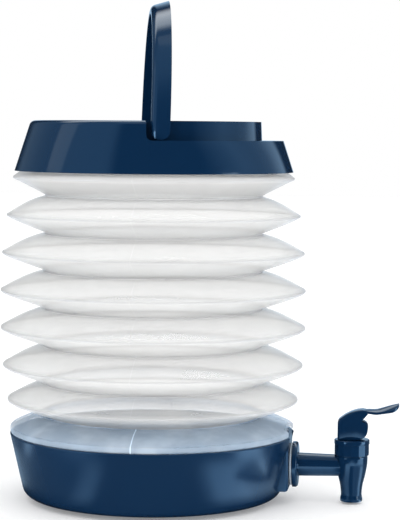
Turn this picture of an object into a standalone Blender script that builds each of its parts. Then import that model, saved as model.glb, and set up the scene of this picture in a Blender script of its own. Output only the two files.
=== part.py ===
# Collapsible water carrier: a bellows reservoir between a dish-shaped base with a press tap
# and a screw lid with a folding bail handle. Metres, +Z up. The origin is the centre of the
# base's underside, +X points at the tap and -Y at the front.

import math

import bmesh
import bpy
from mathutils import Matrix, Vector

# Clearances and general values
SEAT_GAP = 0.0003          # between pieces that rest on each other
NEST_GAP = 0.0004          # between the reservoir and the dish that it sits in
CUT_OVERRUN = 0.004        # how far a cutter runs past what it cuts
MERGE_DISTANCE = 0.00001
RUNNING_GAP = 0.0003       # radial clearance of pins and shanks in their holes

# Facet counts
BIG_FACETS = 40
BELLOWS_FACETS = 30
MID_FACETS = 24
SMALL_FACETS = 16

# Base dish on its shallow foot
FOOT_INSET = 0.0269        # from the rim's radius to the foot's
FOOT_HEIGHT = 0.0024
BASE_RIM_RADIUS = 0.0989
BASE_HEIGHT = 0.0465
BASE_SLOPE = math.radians(13.0)
BASE_FILLET = 0.0080
BASE_WALL = 0.0023
BASE_RIM_EDGE = 0.0006
PAD_INSET = 0.0027         # from the rim's radius to the flat that the flange bears on
PAD_HALF_WIDTH = 0.0180
PAD_BOTTOM_Z = 0.0095
PAD_EDGE = 0.0022

# Reservoir
PAN_WALL = 0.0015
BEAD_INSET = 0.0004        # of the rolled bead that rests on the base's rim
BEAD_HEIGHT = 0.0046
BELLOWS_WALL = 0.0009
VALLEY_RADIUS = 0.0750
VALLEY_BAND = 0.0012
RIDGE_RADIUS = 0.1052
RIDGE_RADIUS_SHARES = (0.962, 0.991, 1.0, 1.0, 0.985, 0.955)   # from the lid down
RIDGE_BAND = 0.0013
SHOULDER_RISE = 0.0124     # from the base's rim to the lowest valley
PLEAT_PITCH = 0.02575
LAST_PLEAT_PITCH = 0.0222
UPPER_FLANK_SHARE = 0.52   # of a pleat's pitch, above its ridge
FLANK_DOME_POWER = 1.45
SHOULDER_DOME_POWER = 1.6
NECK_RIDGE_RADIUS = 0.0969
NECK_RIDGE_RISE = 0.0124   # from the highest valley to the ridge under the lid
NECK_RIDGE_BAND = 0.0022
NECK_SHOULDER_RADIUS = 0.0926
NECK_SHOULDER_RISE = 0.0160
NECK_RADIUS = 0.0823
NECK_WALL = 0.0018
NECK_BASE_RISE = 0.0174
NECK_HEIGHT = 0.0137       # of the plain neck that the lid screws on

# Lid
LID_YAW = math.radians(11.0)
LID_LIFT_OFF = 0.0168      # from the highest valley to the lid's lower edge
LID_HEIGHT = 0.0343
LID_BOTTOM_RADIUS = 0.0959
LID_SLOPE = math.radians(18.0)
LID_EDGE_RADIUS = 0.0042
LID_WALL = 0.0022
LEDGE_DROP = 0.0128
LEDGE_RING_RADIUS = 0.0738
LEDGE_RING_DRAFT = math.radians(1.8)
RECESS_WALL_X = -0.0092
RECESS_CORNER = 0.0036
LINER_RADIUS = 0.0868
LINER_WALL = 0.0021
COLLAR_RADIUS = 0.0862     # outside of the threaded collar
COLLAR_WALL = 0.0022
COLLAR_DEPTH = 0.0165
GASKET_INNER_RADIUS = 0.0775
GASKET_OUTER_RADIUS = 0.0832
GASKET_THICKNESS = 0.0020

# Bail handle
HANDLE_LEAN = math.radians(1.8)
HANDLE_INNER_RADIUS = 0.0796
HANDLE_EDGE = 0.0007
HANDLE_STEPS = 22
STUD_RADIUS = 0.0032
STUD_ENGAGEMENT = 0.0042
STUD_BOSS_RADIUS = 0.0048

# Tap
TAP_STANDOFF = 0.0422      # from the pad's flat to the spout's axis
SHANK_Z = 0.0258
SPOUT_BOTTOM_Z = 0.0012
SPOUT_LIP_RADIUS = 0.0076
SPOUT_LIP_HEIGHT = 0.0040
SPOUT_LIP_EDGE = 0.0007
SPOUT_NECK_RADIUS = 0.0070
SPOUT_SWELL_HEIGHT = 0.0190
SPOUT_BORE_RADIUS = 0.0054
TAP_BODY_RADIUS = 0.0109
TAP_BODY_HEIGHT = 0.0320
TAP_COLLAR_RADIUS = 0.0101
TAP_COLLAR_HEIGHT = 0.0062
SEAT_HEIGHT = 0.0140       # underside of the valve seat above the spout's mouth
SEAT_THICKNESS = 0.0020
SEAT_HOLE_RADIUS = 0.0042
CHAMBER_LOW_RADIUS = 0.0070
CHAMBER_RADIUS = 0.0082
CHAMBER_FLARE_HEIGHT = 0.0060
SHANK_ROOT_RADIUS = 0.0080
SHANK_TIP_RADIUS = 0.0072
SHANK_THREAD_RADIUS = 0.0078
SHANK_TAIL = 0.0024        # past the nut
SHANK_BORE_RADIUS = 0.0046
FLANGE_RADIUS = 0.0157
FLANGE_THICKNESS = 0.0037
FLANGE_ROUND = 0.0018
OUTER_WASHER_RADIUS = 0.0146
OUTER_WASHER_THICKNESS = 0.0012
INNER_WASHER_RADIUS = 0.0119
INNER_WASHER_THICKNESS = 0.0015
NUT_RADIUS = 0.0118
NUT_THICKNESS = 0.0070
NUT_CHAMFER = 0.0010

# Bonnet
BONNET_RADIUS = 0.0121
BONNET_HEIGHT = 0.0107
BONNET_BAND = 0.0031       # plain band above the flats
BONNET_FLATS = 14
BONNET_FLAT_RADIUS = 0.0120
BONNET_TOP = 0.0018
BONNET_HOLE_RADIUS = 0.0041
BONNET_EDGE = 0.0005

# Valve
STEM_RADIUS = 0.0020
STEM_BUTTON_RADIUS = 0.0030
STEM_BUTTON_HEIGHT = 0.0030
EYE_RADIUS = 0.0032
EYE_THICKNESS = 0.0038
PIN_RADIUS = 0.0011
CUP_FLOOR = 0.0010
CUP_NOSE_RADIUS = 0.0055
CUP_NOSE_HEIGHT = 0.0020
CUP_SLEEVE_RADIUS = 0.0037
CUP_FLARE_HEIGHT = 0.0040
CUP_RIM_RADIUS = 0.0099
CUP_RIM_THICKNESS = 0.0006

# Lever, its tables of points from the pin
CAM_BASE = 0.0072          # pin above the hub's flat sole
CAM_LIFT_PER_RADIAN = 0.0035
CAM_THROW = math.radians(35.0)
CAM_STEPS = 5
HEEL_RADIUS = 0.0060
HEEL_STEPS = 4
HEEL_TOP = ((0.0106, 0.0014), (0.0099, 0.0037), (0.0081, 0.0055), (0.0058, 0.0063))
WEB_TOE = (0.0108, 0.0118)
HUB_TOP = ((0.0034, 0.0126), (0.0005, 0.0110), (-0.0020, 0.0090), (-0.0042, 0.0074),
           (-0.0072, 0.0073), (-0.0083, 0.0068), (-0.0087, 0.0057))
HUB_HALF_WIDTH = 0.0058
SLOT_HALF_WIDTH = 0.0024
SLOT_BACK = 0.0042
SLOT_TOP = 0.0042
ARM_ROOT = (0.0063, 0.0136)
ARM_MIDDLE = (0.0170, 0.0122)      # control point of the arm's top line
ARM_TIP = (0.0322, 0.0178)
ARM_THICKNESS = 0.0021
ARM_ROOT_HALF_WIDTH = 0.0046
ARM_HALF_WIDTH = 0.0064
ARM_DISH = 0.0015
ARM_STEPS = 10

# Places that follow from the sizes
FOOT_RADIUS = BASE_RIM_RADIUS - FOOT_INSET
PAD_FACE_X = BASE_RIM_RADIUS - PAD_INSET
BEAD_RADIUS = BASE_RIM_RADIUS - BEAD_INSET
TAP_REACH = PAD_FACE_X + TAP_STANDOFF
BASE_CORNER_RADIUS = BASE_RIM_RADIUS - (BASE_HEIGHT - FOOT_HEIGHT) * math.tan(BASE_SLOPE)
PAN_OFFSET = BASE_WALL + NEST_GAP
PAN_INNER_OFFSET = PAN_OFFSET + PAN_WALL
PAN_INNER_FLAT_X = PAD_FACE_X - PAN_INNER_OFFSET
BELLOWS_BOTTOM_Z = BASE_HEIGHT + SHOULDER_RISE
PLEATS = len(RIDGE_RADIUS_SHARES)
BELLOWS_TOP_Z = BELLOWS_BOTTOM_Z + LAST_PLEAT_PITCH + (PLEATS - 1) * PLEAT_PITCH
LID_BOTTOM_Z = BELLOWS_TOP_Z + LID_LIFT_OFF
LID_TOP_Z = LID_BOTTOM_Z + LID_HEIGHT
LEDGE_Z = LID_TOP_Z - LEDGE_DROP
NECK_TOP_Z = BELLOWS_TOP_Z + NECK_BASE_RISE + NECK_HEIGHT
LINER_TOP_Z = LEDGE_Z - LID_WALL - SEAT_GAP
PIVOT_Z = LEDGE_Z + LEDGE_DROP / 2
STRAP_HALF_WIDTH = LEDGE_DROP / 2 - SEAT_GAP
BODY_TOP_Z = SPOUT_BOTTOM_Z + TAP_BODY_HEIGHT
COLLAR_TOP_Z = BODY_TOP_Z + TAP_COLLAR_HEIGHT
BONNET_BOTTOM_Z = BODY_TOP_Z + SEAT_GAP
BONNET_TOP_Z = BONNET_BOTTOM_Z + BONNET_HEIGHT
PIN_Z = BONNET_TOP_Z + SEAT_GAP + CAM_BASE
SEAT_TOP_Z = SPOUT_BOTTOM_Z + SEAT_HEIGHT + SEAT_THICKNESS
CUP_BOTTOM_Z = SEAT_TOP_Z + SEAT_GAP
BUTTON_BOTTOM_Z = CUP_BOTTOM_Z + CUP_FLOOR + SEAT_GAP
BUTTON_TOP_Z = BUTTON_BOTTOM_Z + STEM_BUTTON_HEIGHT
FLANGE_BACK_X = PAD_FACE_X + OUTER_WASHER_THICKNESS + 2 * SEAT_GAP
FLANGE_FACE_X = FLANGE_BACK_X + FLANGE_THICKNESS
NUT_FACE_X = PAN_INNER_FLAT_X - INNER_WASHER_THICKNESS - 2 * SEAT_GAP
SHANK_END_X = NUT_FACE_X - NUT_THICKNESS - SHANK_TAIL


def clear_scene():
    for old in list(bpy.data.objects):
        bpy.data.objects.remove(old, do_unlink=True)


def plastic(name, colour, roughness, alpha=1.0, transmission=0.0):
    finish = bpy.data.materials.new(name)
    finish.use_nodes = True
    shader = finish.node_tree.nodes["Principled BSDF"]
    shader.inputs["Base Color"].default_value = (*colour, 1.0)
    shader.inputs["Roughness"].default_value = roughness
    shader.inputs["Metallic"].default_value = 0.0
    shader.inputs["Alpha"].default_value = alpha
    shader.inputs["Transmission Weight"].default_value = transmission
    return finish


def navy(name):
    return plastic(name, (0.012, 0.045, 0.115), 0.22)


def milky(name):
    return plastic(name, (0.86, 0.87, 0.88), 0.30, alpha=0.8, transmission=0.3)


def silicone(name):
    return plastic(name, (0.75, 0.77, 0.78), 0.55)


def place(name, shape, finish=None, parent=None, at=(0, 0, 0), turn=(0, 0, 0)):
    """Make an object from a bmesh, shaded smooth with its sharp edges kept."""
    mesh = bpy.data.meshes.new(name)
    shape.to_mesh(mesh)
    shape.free()
    mesh.shade_smooth()
    mesh.set_sharp_from_angle(angle=math.radians(35.0))
    thing = bpy.data.objects.new(name, mesh)
    bpy.context.scene.collection.objects.link(thing)
    thing.location = at
    thing.rotation_euler = turn
    if parent is not None:
        thing.parent = parent
    if finish is not None:
        mesh.materials.append(finish)
    return thing


def guide(name, at=(0, 0, 0), turn=(0, 0, 0), parent=None):
    empty = bpy.data.objects.new(name, None)
    bpy.context.scene.collection.objects.link(empty)
    empty.location = at
    empty.rotation_euler = turn
    if parent is not None:
        empty.parent = parent
    return empty


def turned(outline, facets, axis_to=None):
    """Spin an outline of (radius, height) points about Z. An outline whose two ends lie on
    the axis is a solid, and any other is closed into a ring."""
    shape = bmesh.new()
    points = [shape.verts.new((radius, 0, height)) for radius, height in outline]
    pairs = list(zip(points, points[1:]))
    on_axis = outline[0][0] == 0 and outline[-1][0] == 0
    if not on_axis:
        pairs.append((points[-1], points[0]))
    lines = [shape.edges.new(pair) for pair in pairs]
    bmesh.ops.spin(shape, geom=points + lines, cent=(0, 0, 0), axis=(0, 0, 1),
                   angle=2 * math.pi, steps=facets, use_merge=True)
    bmesh.ops.remove_doubles(shape, verts=shape.verts, dist=MERGE_DISTANCE)
    bmesh.ops.recalc_face_normals(shape, faces=shape.faces)
    if axis_to is not None:
        spin = Vector((0, 0, 1)).rotation_difference(Vector(axis_to)).to_matrix()
        bmesh.ops.rotate(shape, verts=shape.verts, cent=(0, 0, 0), matrix=spin)
    return shape


def block(low, high):
    shape = bmesh.new()
    size = Vector(high) - Vector(low)
    middle = (Vector(high) + Vector(low)) / 2
    bmesh.ops.create_cube(shape, size=1.0)
    bmesh.ops.scale(shape, vec=size, verts=shape.verts)
    bmesh.ops.translate(shape, vec=middle, verts=shape.verts)
    return shape


def prism(outline, low_y, high_y):
    """Extrude a closed outline of (x, z) points along Y."""
    shape = bmesh.new()
    face = shape.faces.new([shape.verts.new((x, low_y, z)) for x, z in outline])
    swept = bmesh.ops.extrude_face_region(shape, geom=[face])
    moved = [item for item in swept["geom"] if isinstance(item, bmesh.types.BMVert)]
    bmesh.ops.translate(shape, vec=(0, high_y - low_y, 0), verts=moved)
    bmesh.ops.recalc_face_normals(shape, faces=shape.faces)
    return shape


def rod(radius, length, facets):
    return [(0, 0), (radius, 0), (radius, length), (0, length)]


def boolean(thing, tool, operation):
    step = thing.modifiers.new(tool.name, "BOOLEAN")
    step.operation = operation
    step.solver = "EXACT"
    step.object = tool
    tool.hide_render = True
    tool.display_type = "WIRE"


def cut(thing, tool):
    boolean(thing, tool, "DIFFERENCE")


def join(thing, tool):
    boolean(thing, tool, "UNION")


def arc(centre, radius, start, end, steps):
    """Points on an arc, its angles measured from +radius towards +height."""
    points = []
    for step in range(steps + 1):
        angle = start + (end - start) * step / steps
        points.append((centre[0] + radius * math.cos(angle), centre[1] + radius * math.sin(angle)))
    return points


def bezier(start, control, end, steps):
    points = []
    for step in range(steps + 1):
        t = step / steps
        weights = ((1 - t) ** 2, 2 * t * (1 - t), t ** 2)
        points.append(tuple(sum(weight * corner[axis] for weight, corner
                                in zip(weights, (start, control, end))) for axis in (0, 1)))
    return points


def dome(start, end, power, steps):
    """Flank from a valley to a ridge that leaves the valley flat and bends down."""
    points = []
    for step in range(steps + 1):
        t = step / steps
        points.append((start[0] + (end[0] - start[0]) * t,
                       start[1] + (end[1] - start[1]) * t ** power))
    return points


def dish_radius(offset, height):
    rise = height - FOOT_HEIGHT
    return BASE_CORNER_RADIUS + rise * math.tan(BASE_SLOPE) - offset / math.cos(BASE_SLOPE)


def dish(offset, top_z, fillet_steps):
    """The dish's outline moved inward by an offset, from the middle of its floor up."""
    fillet = BASE_FILLET - offset
    middle_z = FOOT_HEIGHT + BASE_FILLET
    middle_radius = dish_radius(offset, middle_z) - fillet / math.cos(BASE_SLOPE)
    round_part = arc((middle_radius, middle_z), fillet, -math.pi / 2, -BASE_SLOPE, fillet_steps)
    return [(0, FOOT_HEIGHT + offset)] + round_part + [(dish_radius(offset, top_z), top_z)]


def fit_pad(thing, offset, top_z):
    """Give a dish the flat for the tap, moved inward by the dish's own offset. The flat
    cuts into the wall near the rim and stands out of it lower down."""
    face = PAD_FACE_X - offset
    reach = BASE_RIM_RADIUS + CUT_OVERRUN
    wide = PAD_HALF_WIDTH + offset
    notch = block((face, -wide, -CUT_OVERRUN), (reach, wide, top_z))
    cut(thing, place(thing.name + "_notch", notch))
    half = PAD_HALF_WIDTH - offset
    low = PAD_BOTTOM_Z + offset
    edge = max(PAD_EDGE - offset, BASE_RIM_EDGE)
    corner = arc((face - edge, low + edge), edge, 0, -math.pi / 2, 3)
    outline = [(BASE_CORNER_RADIUS - BASE_FILLET, top_z), (face, top_z)] + corner
    outline.append((BASE_CORNER_RADIUS - BASE_FILLET, low))
    join(thing, place(thing.name + "_pad", prism(outline, -half, half)))


def build_base():
    edge = BASE_RIM_EDGE
    foot = [(0, 0), (FOOT_RADIUS - edge, 0), (FOOT_RADIUS, edge), (FOOT_RADIUS, FOOT_HEIGHT)]
    outside = foot + dish(0, BASE_HEIGHT - edge, 4)[1:]
    outside += [(BASE_RIM_RADIUS - edge, BASE_HEIGHT), (0, BASE_HEIGHT)]
    base = place("base_shell", turned(outside, BIG_FACETS), navy("navy_base"))
    fit_pad(base, 0, BASE_HEIGHT)

    well_radius = FOOT_RADIUS - BASE_WALL
    well_z = FOOT_HEIGHT + BASE_WALL
    top = BASE_HEIGHT + CUT_OVERRUN
    inside = [(0, BASE_WALL), (well_radius, BASE_WALL), (well_radius, well_z)]
    inside += dish(BASE_WALL, top, 3)[1:] + [(0, top)]
    hollow = place("base_hollow", turned(inside, BIG_FACETS))
    fit_pad(hollow, BASE_WALL, top)
    cut(base, hollow)
    cut(base, shank_hole("base_shank_hole"))


def shank_hole(name):
    start_x = NUT_FACE_X
    length = FLANGE_FACE_X - start_x
    return place(name, turned(rod(SHANK_THREAD_RADIUS + RUNNING_GAP, length, MID_FACETS),
                              MID_FACETS, axis_to=(1, 0, 0)), at=(start_x, 0, SHANK_Z))


def pleat_end(height, sign):
    """Half of a valley's band, next to the split between two nodes."""
    return (VALLEY_RADIUS, height + sign * SEAT_GAP / 2)


def build_pan():
    rest_z = BASE_HEIGHT + SEAT_GAP
    bead = BEAD_HEIGHT / 2
    bead_arc = arc((BEAD_RADIUS - bead, rest_z + bead), bead, -math.pi / 2, math.pi / 3, 4)
    valley = (VALLEY_RADIUS, BELLOWS_BOTTOM_Z - VALLEY_BAND / 2)
    shoulder = dome(valley, bead_arc[-1], SHOULDER_DOME_POWER, 3)
    outside = dish(PAN_OFFSET, rest_z, 3) + bead_arc + shoulder[-2::-1]
    outside += [pleat_end(BELLOWS_BOTTOM_Z, -1), (0, BELLOWS_BOTTOM_Z - SEAT_GAP / 2)]
    pan = place("reservoir_pan", turned(outside, BIG_FACETS), milky("clear_pan"))
    fit_pad(pan, PAN_OFFSET, rest_z)

    inner_valley = (VALLEY_RADIUS - BELLOWS_WALL, valley[1] - PAN_WALL)
    inner_ridge = (BEAD_RADIUS - BEAD_HEIGHT, rest_z + BEAD_HEIGHT - PAN_WALL)
    inner_shoulder = dome(inner_valley, inner_ridge, SHOULDER_DOME_POWER, 2)
    top = BELLOWS_BOTTOM_Z + CUT_OVERRUN
    inside = dish(PAN_INNER_OFFSET, rest_z, 2) + inner_shoulder[::-1]
    inside += [(inner_valley[0], top), (0, top)]
    hollow = place("pan_hollow", turned(inside, BIG_FACETS))
    fit_pad(hollow, PAN_INNER_OFFSET, rest_z)
    cut(pan, hollow)
    cut(pan, shank_hole("pan_shank_hole"))


def pleat_outline(number, top_z, pitch):
    """One pleat from the band of the valley above it down to that of the valley below."""
    ridge_radius = RIDGE_RADIUS * RIDGE_RADIUS_SHARES[number]
    ridge_z = top_z - UPPER_FLANK_SHARE * pitch
    start = (VALLEY_RADIUS, top_z - VALLEY_BAND / 2)
    upper_lip = (ridge_radius, ridge_z + RIDGE_BAND / 2)
    lower_lip = (ridge_radius, ridge_z - RIDGE_BAND / 2)
    end = (VALLEY_RADIUS, top_z - pitch + VALLEY_BAND / 2)
    return dome(start, upper_lip, FLANK_DOME_POWER, 3) + [lower_lip, end]


def build_bellows():
    outline = [pleat_end(BELLOWS_TOP_Z, -1)]
    top_z = BELLOWS_TOP_Z
    for number in range(PLEATS):
        pitch = LAST_PLEAT_PITCH if number == PLEATS - 1 else PLEAT_PITCH
        outline += pleat_outline(number, top_z, pitch)
        top_z -= pitch
    outline.append(pleat_end(BELLOWS_BOTTOM_Z, 1))

    shape = bmesh.new()
    points = [shape.verts.new((radius, 0, height)) for radius, height in outline]
    lines = [shape.edges.new(pair) for pair in zip(points, points[1:])]
    bmesh.ops.spin(shape, geom=points + lines, cent=(0, 0, 0), axis=(0, 0, 1),
                   angle=2 * math.pi, steps=BELLOWS_FACETS, use_merge=True)
    bmesh.ops.recalc_face_normals(shape, faces=shape.faces)
    bellows = place("bellows", shape, milky("milky_bellows"))
    wall = bellows.modifiers.new("wall", "SOLIDIFY")
    wall.thickness = BELLOWS_WALL
    wall.offset = -1.0
    wall.use_even_offset = False


def build_neck():
    ridge_z = BELLOWS_TOP_Z + NECK_RIDGE_RISE
    base_z = BELLOWS_TOP_Z + NECK_BASE_RISE
    band = NECK_RIDGE_BAND / 2
    wall = NECK_WALL
    outside = [
        pleat_end(BELLOWS_TOP_Z, 1),
        (VALLEY_RADIUS, BELLOWS_TOP_Z + VALLEY_BAND / 2),
        (NECK_RIDGE_RADIUS - band, ridge_z - band),
        (NECK_RIDGE_RADIUS, ridge_z),
        (NECK_SHOULDER_RADIUS, BELLOWS_TOP_Z + NECK_SHOULDER_RISE),
        (NECK_RADIUS, base_z),
        (NECK_RADIUS, NECK_TOP_Z),
    ]
    inside = [
        (NECK_RADIUS - wall, NECK_TOP_Z),
        (NECK_RADIUS - wall, base_z - wall),
        (NECK_SHOULDER_RADIUS - wall, BELLOWS_TOP_Z + NECK_SHOULDER_RISE - wall),
        (NECK_RIDGE_RADIUS - 2 * wall, ridge_z),
        (VALLEY_RADIUS - BELLOWS_WALL, BELLOWS_TOP_Z + VALLEY_BAND / 2 + BELLOWS_WALL),
        (VALLEY_RADIUS - BELLOWS_WALL, BELLOWS_TOP_Z + SEAT_GAP / 2),
    ]
    place("reservoir_neck", turned(outside + inside, BIG_FACETS), milky("clear_neck"))


def lid_radius(height, offset=0.0):
    drop = (height - LID_BOTTOM_Z) * math.tan(LID_SLOPE)
    return LID_BOTTOM_RADIUS - drop - offset / math.cos(LID_SLOPE)


def recess_block(name, frame, grow):
    """The handle's recess: everything right of its end wall, above the ledge and outside
    the inner ring. Grown by a wall, it is the solid that the hollow leaves round it."""
    left = RECESS_WALL_X - grow
    low = LEDGE_Z - grow
    reach = LID_BOTTOM_RADIUS + CUT_OVERRUN
    top = LID_TOP_Z + CUT_OVERRUN
    corner = arc((left + RECESS_CORNER, low + RECESS_CORNER), RECESS_CORNER,
                 math.pi, 1.5 * math.pi, 4)
    outline = [(left, top)] + corner + [(reach, low), (reach, top)]
    recess = place(name, prism(outline, -reach, reach), parent=frame)
    ring = LEDGE_RING_RADIUS - grow
    lean = math.tan(LEDGE_RING_DRAFT)
    core_low = low - CUT_OVERRUN
    core_high = top + CUT_OVERRUN
    core = [(0, core_low), (ring + lean * (LEDGE_Z - core_low), core_low),
            (ring - lean * (core_high - LEDGE_Z), core_high), (0, core_high)]
    cut(recess, place(name + "_core", turned(core, BIG_FACETS), parent=frame))
    return recess


def build_lid_cover(frame):
    edge = LID_EDGE_RADIUS
    middle_z = LID_TOP_Z - edge
    middle = (lid_radius(middle_z, edge), middle_z)
    rounding = arc(middle, edge, LID_SLOPE, math.pi / 2, 4)
    outside = [(0, LID_BOTTOM_Z), (LID_BOTTOM_RADIUS, LID_BOTTOM_Z)] + rounding
    outside.append((0, LID_TOP_Z))
    cover = place("lid_cover", turned(outside, BIG_FACETS), navy("navy_lid"), parent=frame)
    cut(cover, recess_block("recess_cutter", frame, 0.0))

    ceiling = LID_TOP_Z - LID_WALL
    low = LID_BOTTOM_Z - CUT_OVERRUN
    round_inside = arc(middle, edge - LID_WALL, LID_SLOPE, math.pi / 2, 2)
    inside = [(0, low), (lid_radius(low, LID_WALL), low)] + round_inside + [(0, ceiling)]
    hollow = place("lid_hollow", turned(inside, BIG_FACETS), parent=frame)
    cut(hollow, recess_block("recess_wall_block", frame, LID_WALL))
    cut(cover, hollow)

    span = 2 * (LEDGE_RING_RADIUS + CUT_OVERRUN)
    socket = place("stud_socket", turned(rod(STUD_RADIUS + RUNNING_GAP, span, SMALL_FACETS),
                                         SMALL_FACETS, axis_to=(0, 1, 0)),
                   parent=frame, at=(0, -span / 2, PIVOT_Z))
    cut(cover, socket)


def build_lid_liner(frame):
    inner = COLLAR_RADIUS - COLLAR_WALL
    ceiling = LINER_TOP_Z - LINER_WALL
    outline = [(0, ceiling), (inner, ceiling), (inner, LINER_TOP_Z - COLLAR_DEPTH),
               (COLLAR_RADIUS, LINER_TOP_Z - COLLAR_DEPTH), (COLLAR_RADIUS, ceiling),
               (LINER_RADIUS, ceiling), (LINER_RADIUS, LINER_TOP_Z), (0, LINER_TOP_Z)]
    place("lid_liner", turned(outline, BIG_FACETS), navy("navy_liner"), parent=frame)


def build_lid_gasket():
    top = LINER_TOP_Z - LINER_WALL - SEAT_GAP
    low = top - GASKET_THICKNESS
    outline = [(GASKET_INNER_RADIUS, low), (GASKET_OUTER_RADIUS, low),
               (GASKET_OUTER_RADIUS, top), (GASKET_INNER_RADIUS, top)]
    place("lid_gasket", turned(outline, BIG_FACETS), silicone("silicone_gasket"))


def strap_radius(across):
    """Outer radius of the bail at a place across its strap. Folded down, the strap goes on
    with the lid's cone and with the rounding of its top edge."""
    slant = math.tan(LID_SLOPE)
    line_middle = lid_radius(PIVOT_Z)
    middle = -STRAP_HALF_WIDTH + LID_EDGE_RADIUS
    if across > middle - LID_EDGE_RADIUS * math.sin(LID_SLOPE):
        return line_middle + slant * across
    centre = line_middle + slant * middle - LID_EDGE_RADIUS / math.cos(LID_SLOPE)
    return centre + math.sqrt(max(LID_EDGE_RADIUS ** 2 - (across - middle) ** 2, 0.0))


def build_handle(frame):
    half = STRAP_HALF_WIDTH
    edge = HANDLE_EDGE
    across = [-half, -half + edge, -half + 3 * edge, -half / 4, half / 3, half - edge, half]
    inner = [HANDLE_INNER_RADIUS + (edge if abs(place_) == half else 0.0) for place_ in across]
    outer = [strap_radius(place_) for place_ in across]
    outer[-1] -= edge
    section = list(zip(across, inner)) + list(zip(across, outer))[::-1]
    count = len(across)

    shape = bmesh.new()
    rings = []
    for step in range(HANDLE_STEPS + 1):
        angle = math.pi * step / HANDLE_STEPS
        ring = []
        for side, radius in section:
            drop = 0.0
            if step in (0, HANDLE_STEPS):
                drop = math.sqrt(half ** 2 - side ** 2)
            ring.append(shape.verts.new((side, -radius * math.cos(angle),
                                         radius * math.sin(angle) - drop)))
        rings.append(ring)
    size = len(section)
    for near, far in zip(rings, rings[1:]):
        for index in range(size):
            after = (index + 1) % size
            shape.faces.new((near[index], near[after], far[after], far[index]))
    for ring in (rings[0], rings[-1]):
        for index in range(count - 1):
            shape.faces.new((ring[index], ring[index + 1],
                             ring[size - 2 - index], ring[size - 1 - index]))
    bmesh.ops.recalc_face_normals(shape, faces=shape.faces)
    pivot = guide("handle_pivot", at=(0, 0, PIVOT_Z), turn=(0, HANDLE_LEAN, 0), parent=frame)
    handle = place("handle", shape, navy("navy_handle"), parent=pivot)

    boss_start = LEDGE_RING_RADIUS + SEAT_GAP
    boss_end = HANDLE_INNER_RADIUS + edge + CUT_OVERRUN / 2
    stud_start = boss_start - SEAT_GAP - STUD_ENGAGEMENT
    stud = [(0, stud_start), (STUD_RADIUS, stud_start), (STUD_RADIUS, boss_start),
            (STUD_BOSS_RADIUS, boss_start), (STUD_BOSS_RADIUS, boss_end), (0, boss_end)]
    for name, side in (("front_stud", -1), ("rear_stud", 1)):
        join(handle, place(name, turned(stud, SMALL_FACETS, axis_to=(0, side, 0)), parent=pivot))


def build_tap_body():
    spout = SPOUT_BOTTOM_Z
    lip = SPOUT_LIP_EDGE
    swell = []
    steps = 6
    for step in range(steps + 1):
        t = step / steps
        blend = t * t * (3 - 2 * t)
        swell.append((SPOUT_NECK_RADIUS + (TAP_BODY_RADIUS - SPOUT_NECK_RADIUS) * blend,
                      spout + SPOUT_LIP_HEIGHT + SPOUT_SWELL_HEIGHT * t))
    outside = [(0, spout), (SPOUT_LIP_RADIUS - lip, spout), (SPOUT_LIP_RADIUS, spout + lip)]
    outside += swell
    outside += [(TAP_BODY_RADIUS, BODY_TOP_Z), (TAP_COLLAR_RADIUS, BODY_TOP_Z),
                (TAP_COLLAR_RADIUS, COLLAR_TOP_Z), (0, COLLAR_TOP_Z)]
    body = place("tap_body", turned(outside, MID_FACETS), navy("navy_tap"), at=(TAP_REACH, 0, 0))

    round_edge = FLANGE_ROUND
    shank = [(0, SHANK_END_X), (SHANK_THREAD_RADIUS, SHANK_END_X),
             (SHANK_THREAD_RADIUS, FLANGE_BACK_X), (FLANGE_RADIUS, FLANGE_BACK_X),
             (FLANGE_RADIUS, FLANGE_FACE_X - round_edge),
             (FLANGE_RADIUS - round_edge, FLANGE_FACE_X), (SHANK_ROOT_RADIUS, FLANGE_FACE_X),
             (SHANK_TIP_RADIUS, TAP_REACH), (0, TAP_REACH)]
    arm = place("shank", turned(shank, MID_FACETS, axis_to=(1, 0, 0)), at=(0, 0, SHANK_Z))
    join(body, arm)

    seat_low = spout + SEAT_HEIGHT
    chamber_top = COLLAR_TOP_Z + CUT_OVERRUN
    waterway = [(0, spout - CUT_OVERRUN), (SPOUT_BORE_RADIUS, spout - CUT_OVERRUN),
                (SPOUT_BORE_RADIUS, seat_low), (SEAT_HOLE_RADIUS, seat_low),
                (SEAT_HOLE_RADIUS, SEAT_TOP_Z), (CHAMBER_LOW_RADIUS, SEAT_TOP_Z),
                (CHAMBER_RADIUS, SEAT_TOP_Z + CHAMBER_FLARE_HEIGHT),
                (CHAMBER_RADIUS, chamber_top), (0, chamber_top)]
    cut(body, place("waterway", turned(waterway, SMALL_FACETS), at=(TAP_REACH, 0, 0)))
    start = SHANK_END_X - CUT_OVERRUN
    inlet = rod(SHANK_BORE_RADIUS, TAP_REACH - start, SMALL_FACETS)
    cut(body, place("inlet_bore", turned(inlet, SMALL_FACETS, axis_to=(1, 0, 0)),
                    at=(start, 0, SHANK_Z)))


def ring_on_shank(name, start_x, thickness, radius, finish):
    outline = [(SHANK_THREAD_RADIUS + RUNNING_GAP, 0), (radius, 0), (radius, thickness),
               (SHANK_THREAD_RADIUS + RUNNING_GAP, thickness)]
    place(name, turned(outline, MID_FACETS, axis_to=(1, 0, 0)), finish,
          at=(start_x, 0, SHANK_Z))


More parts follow.
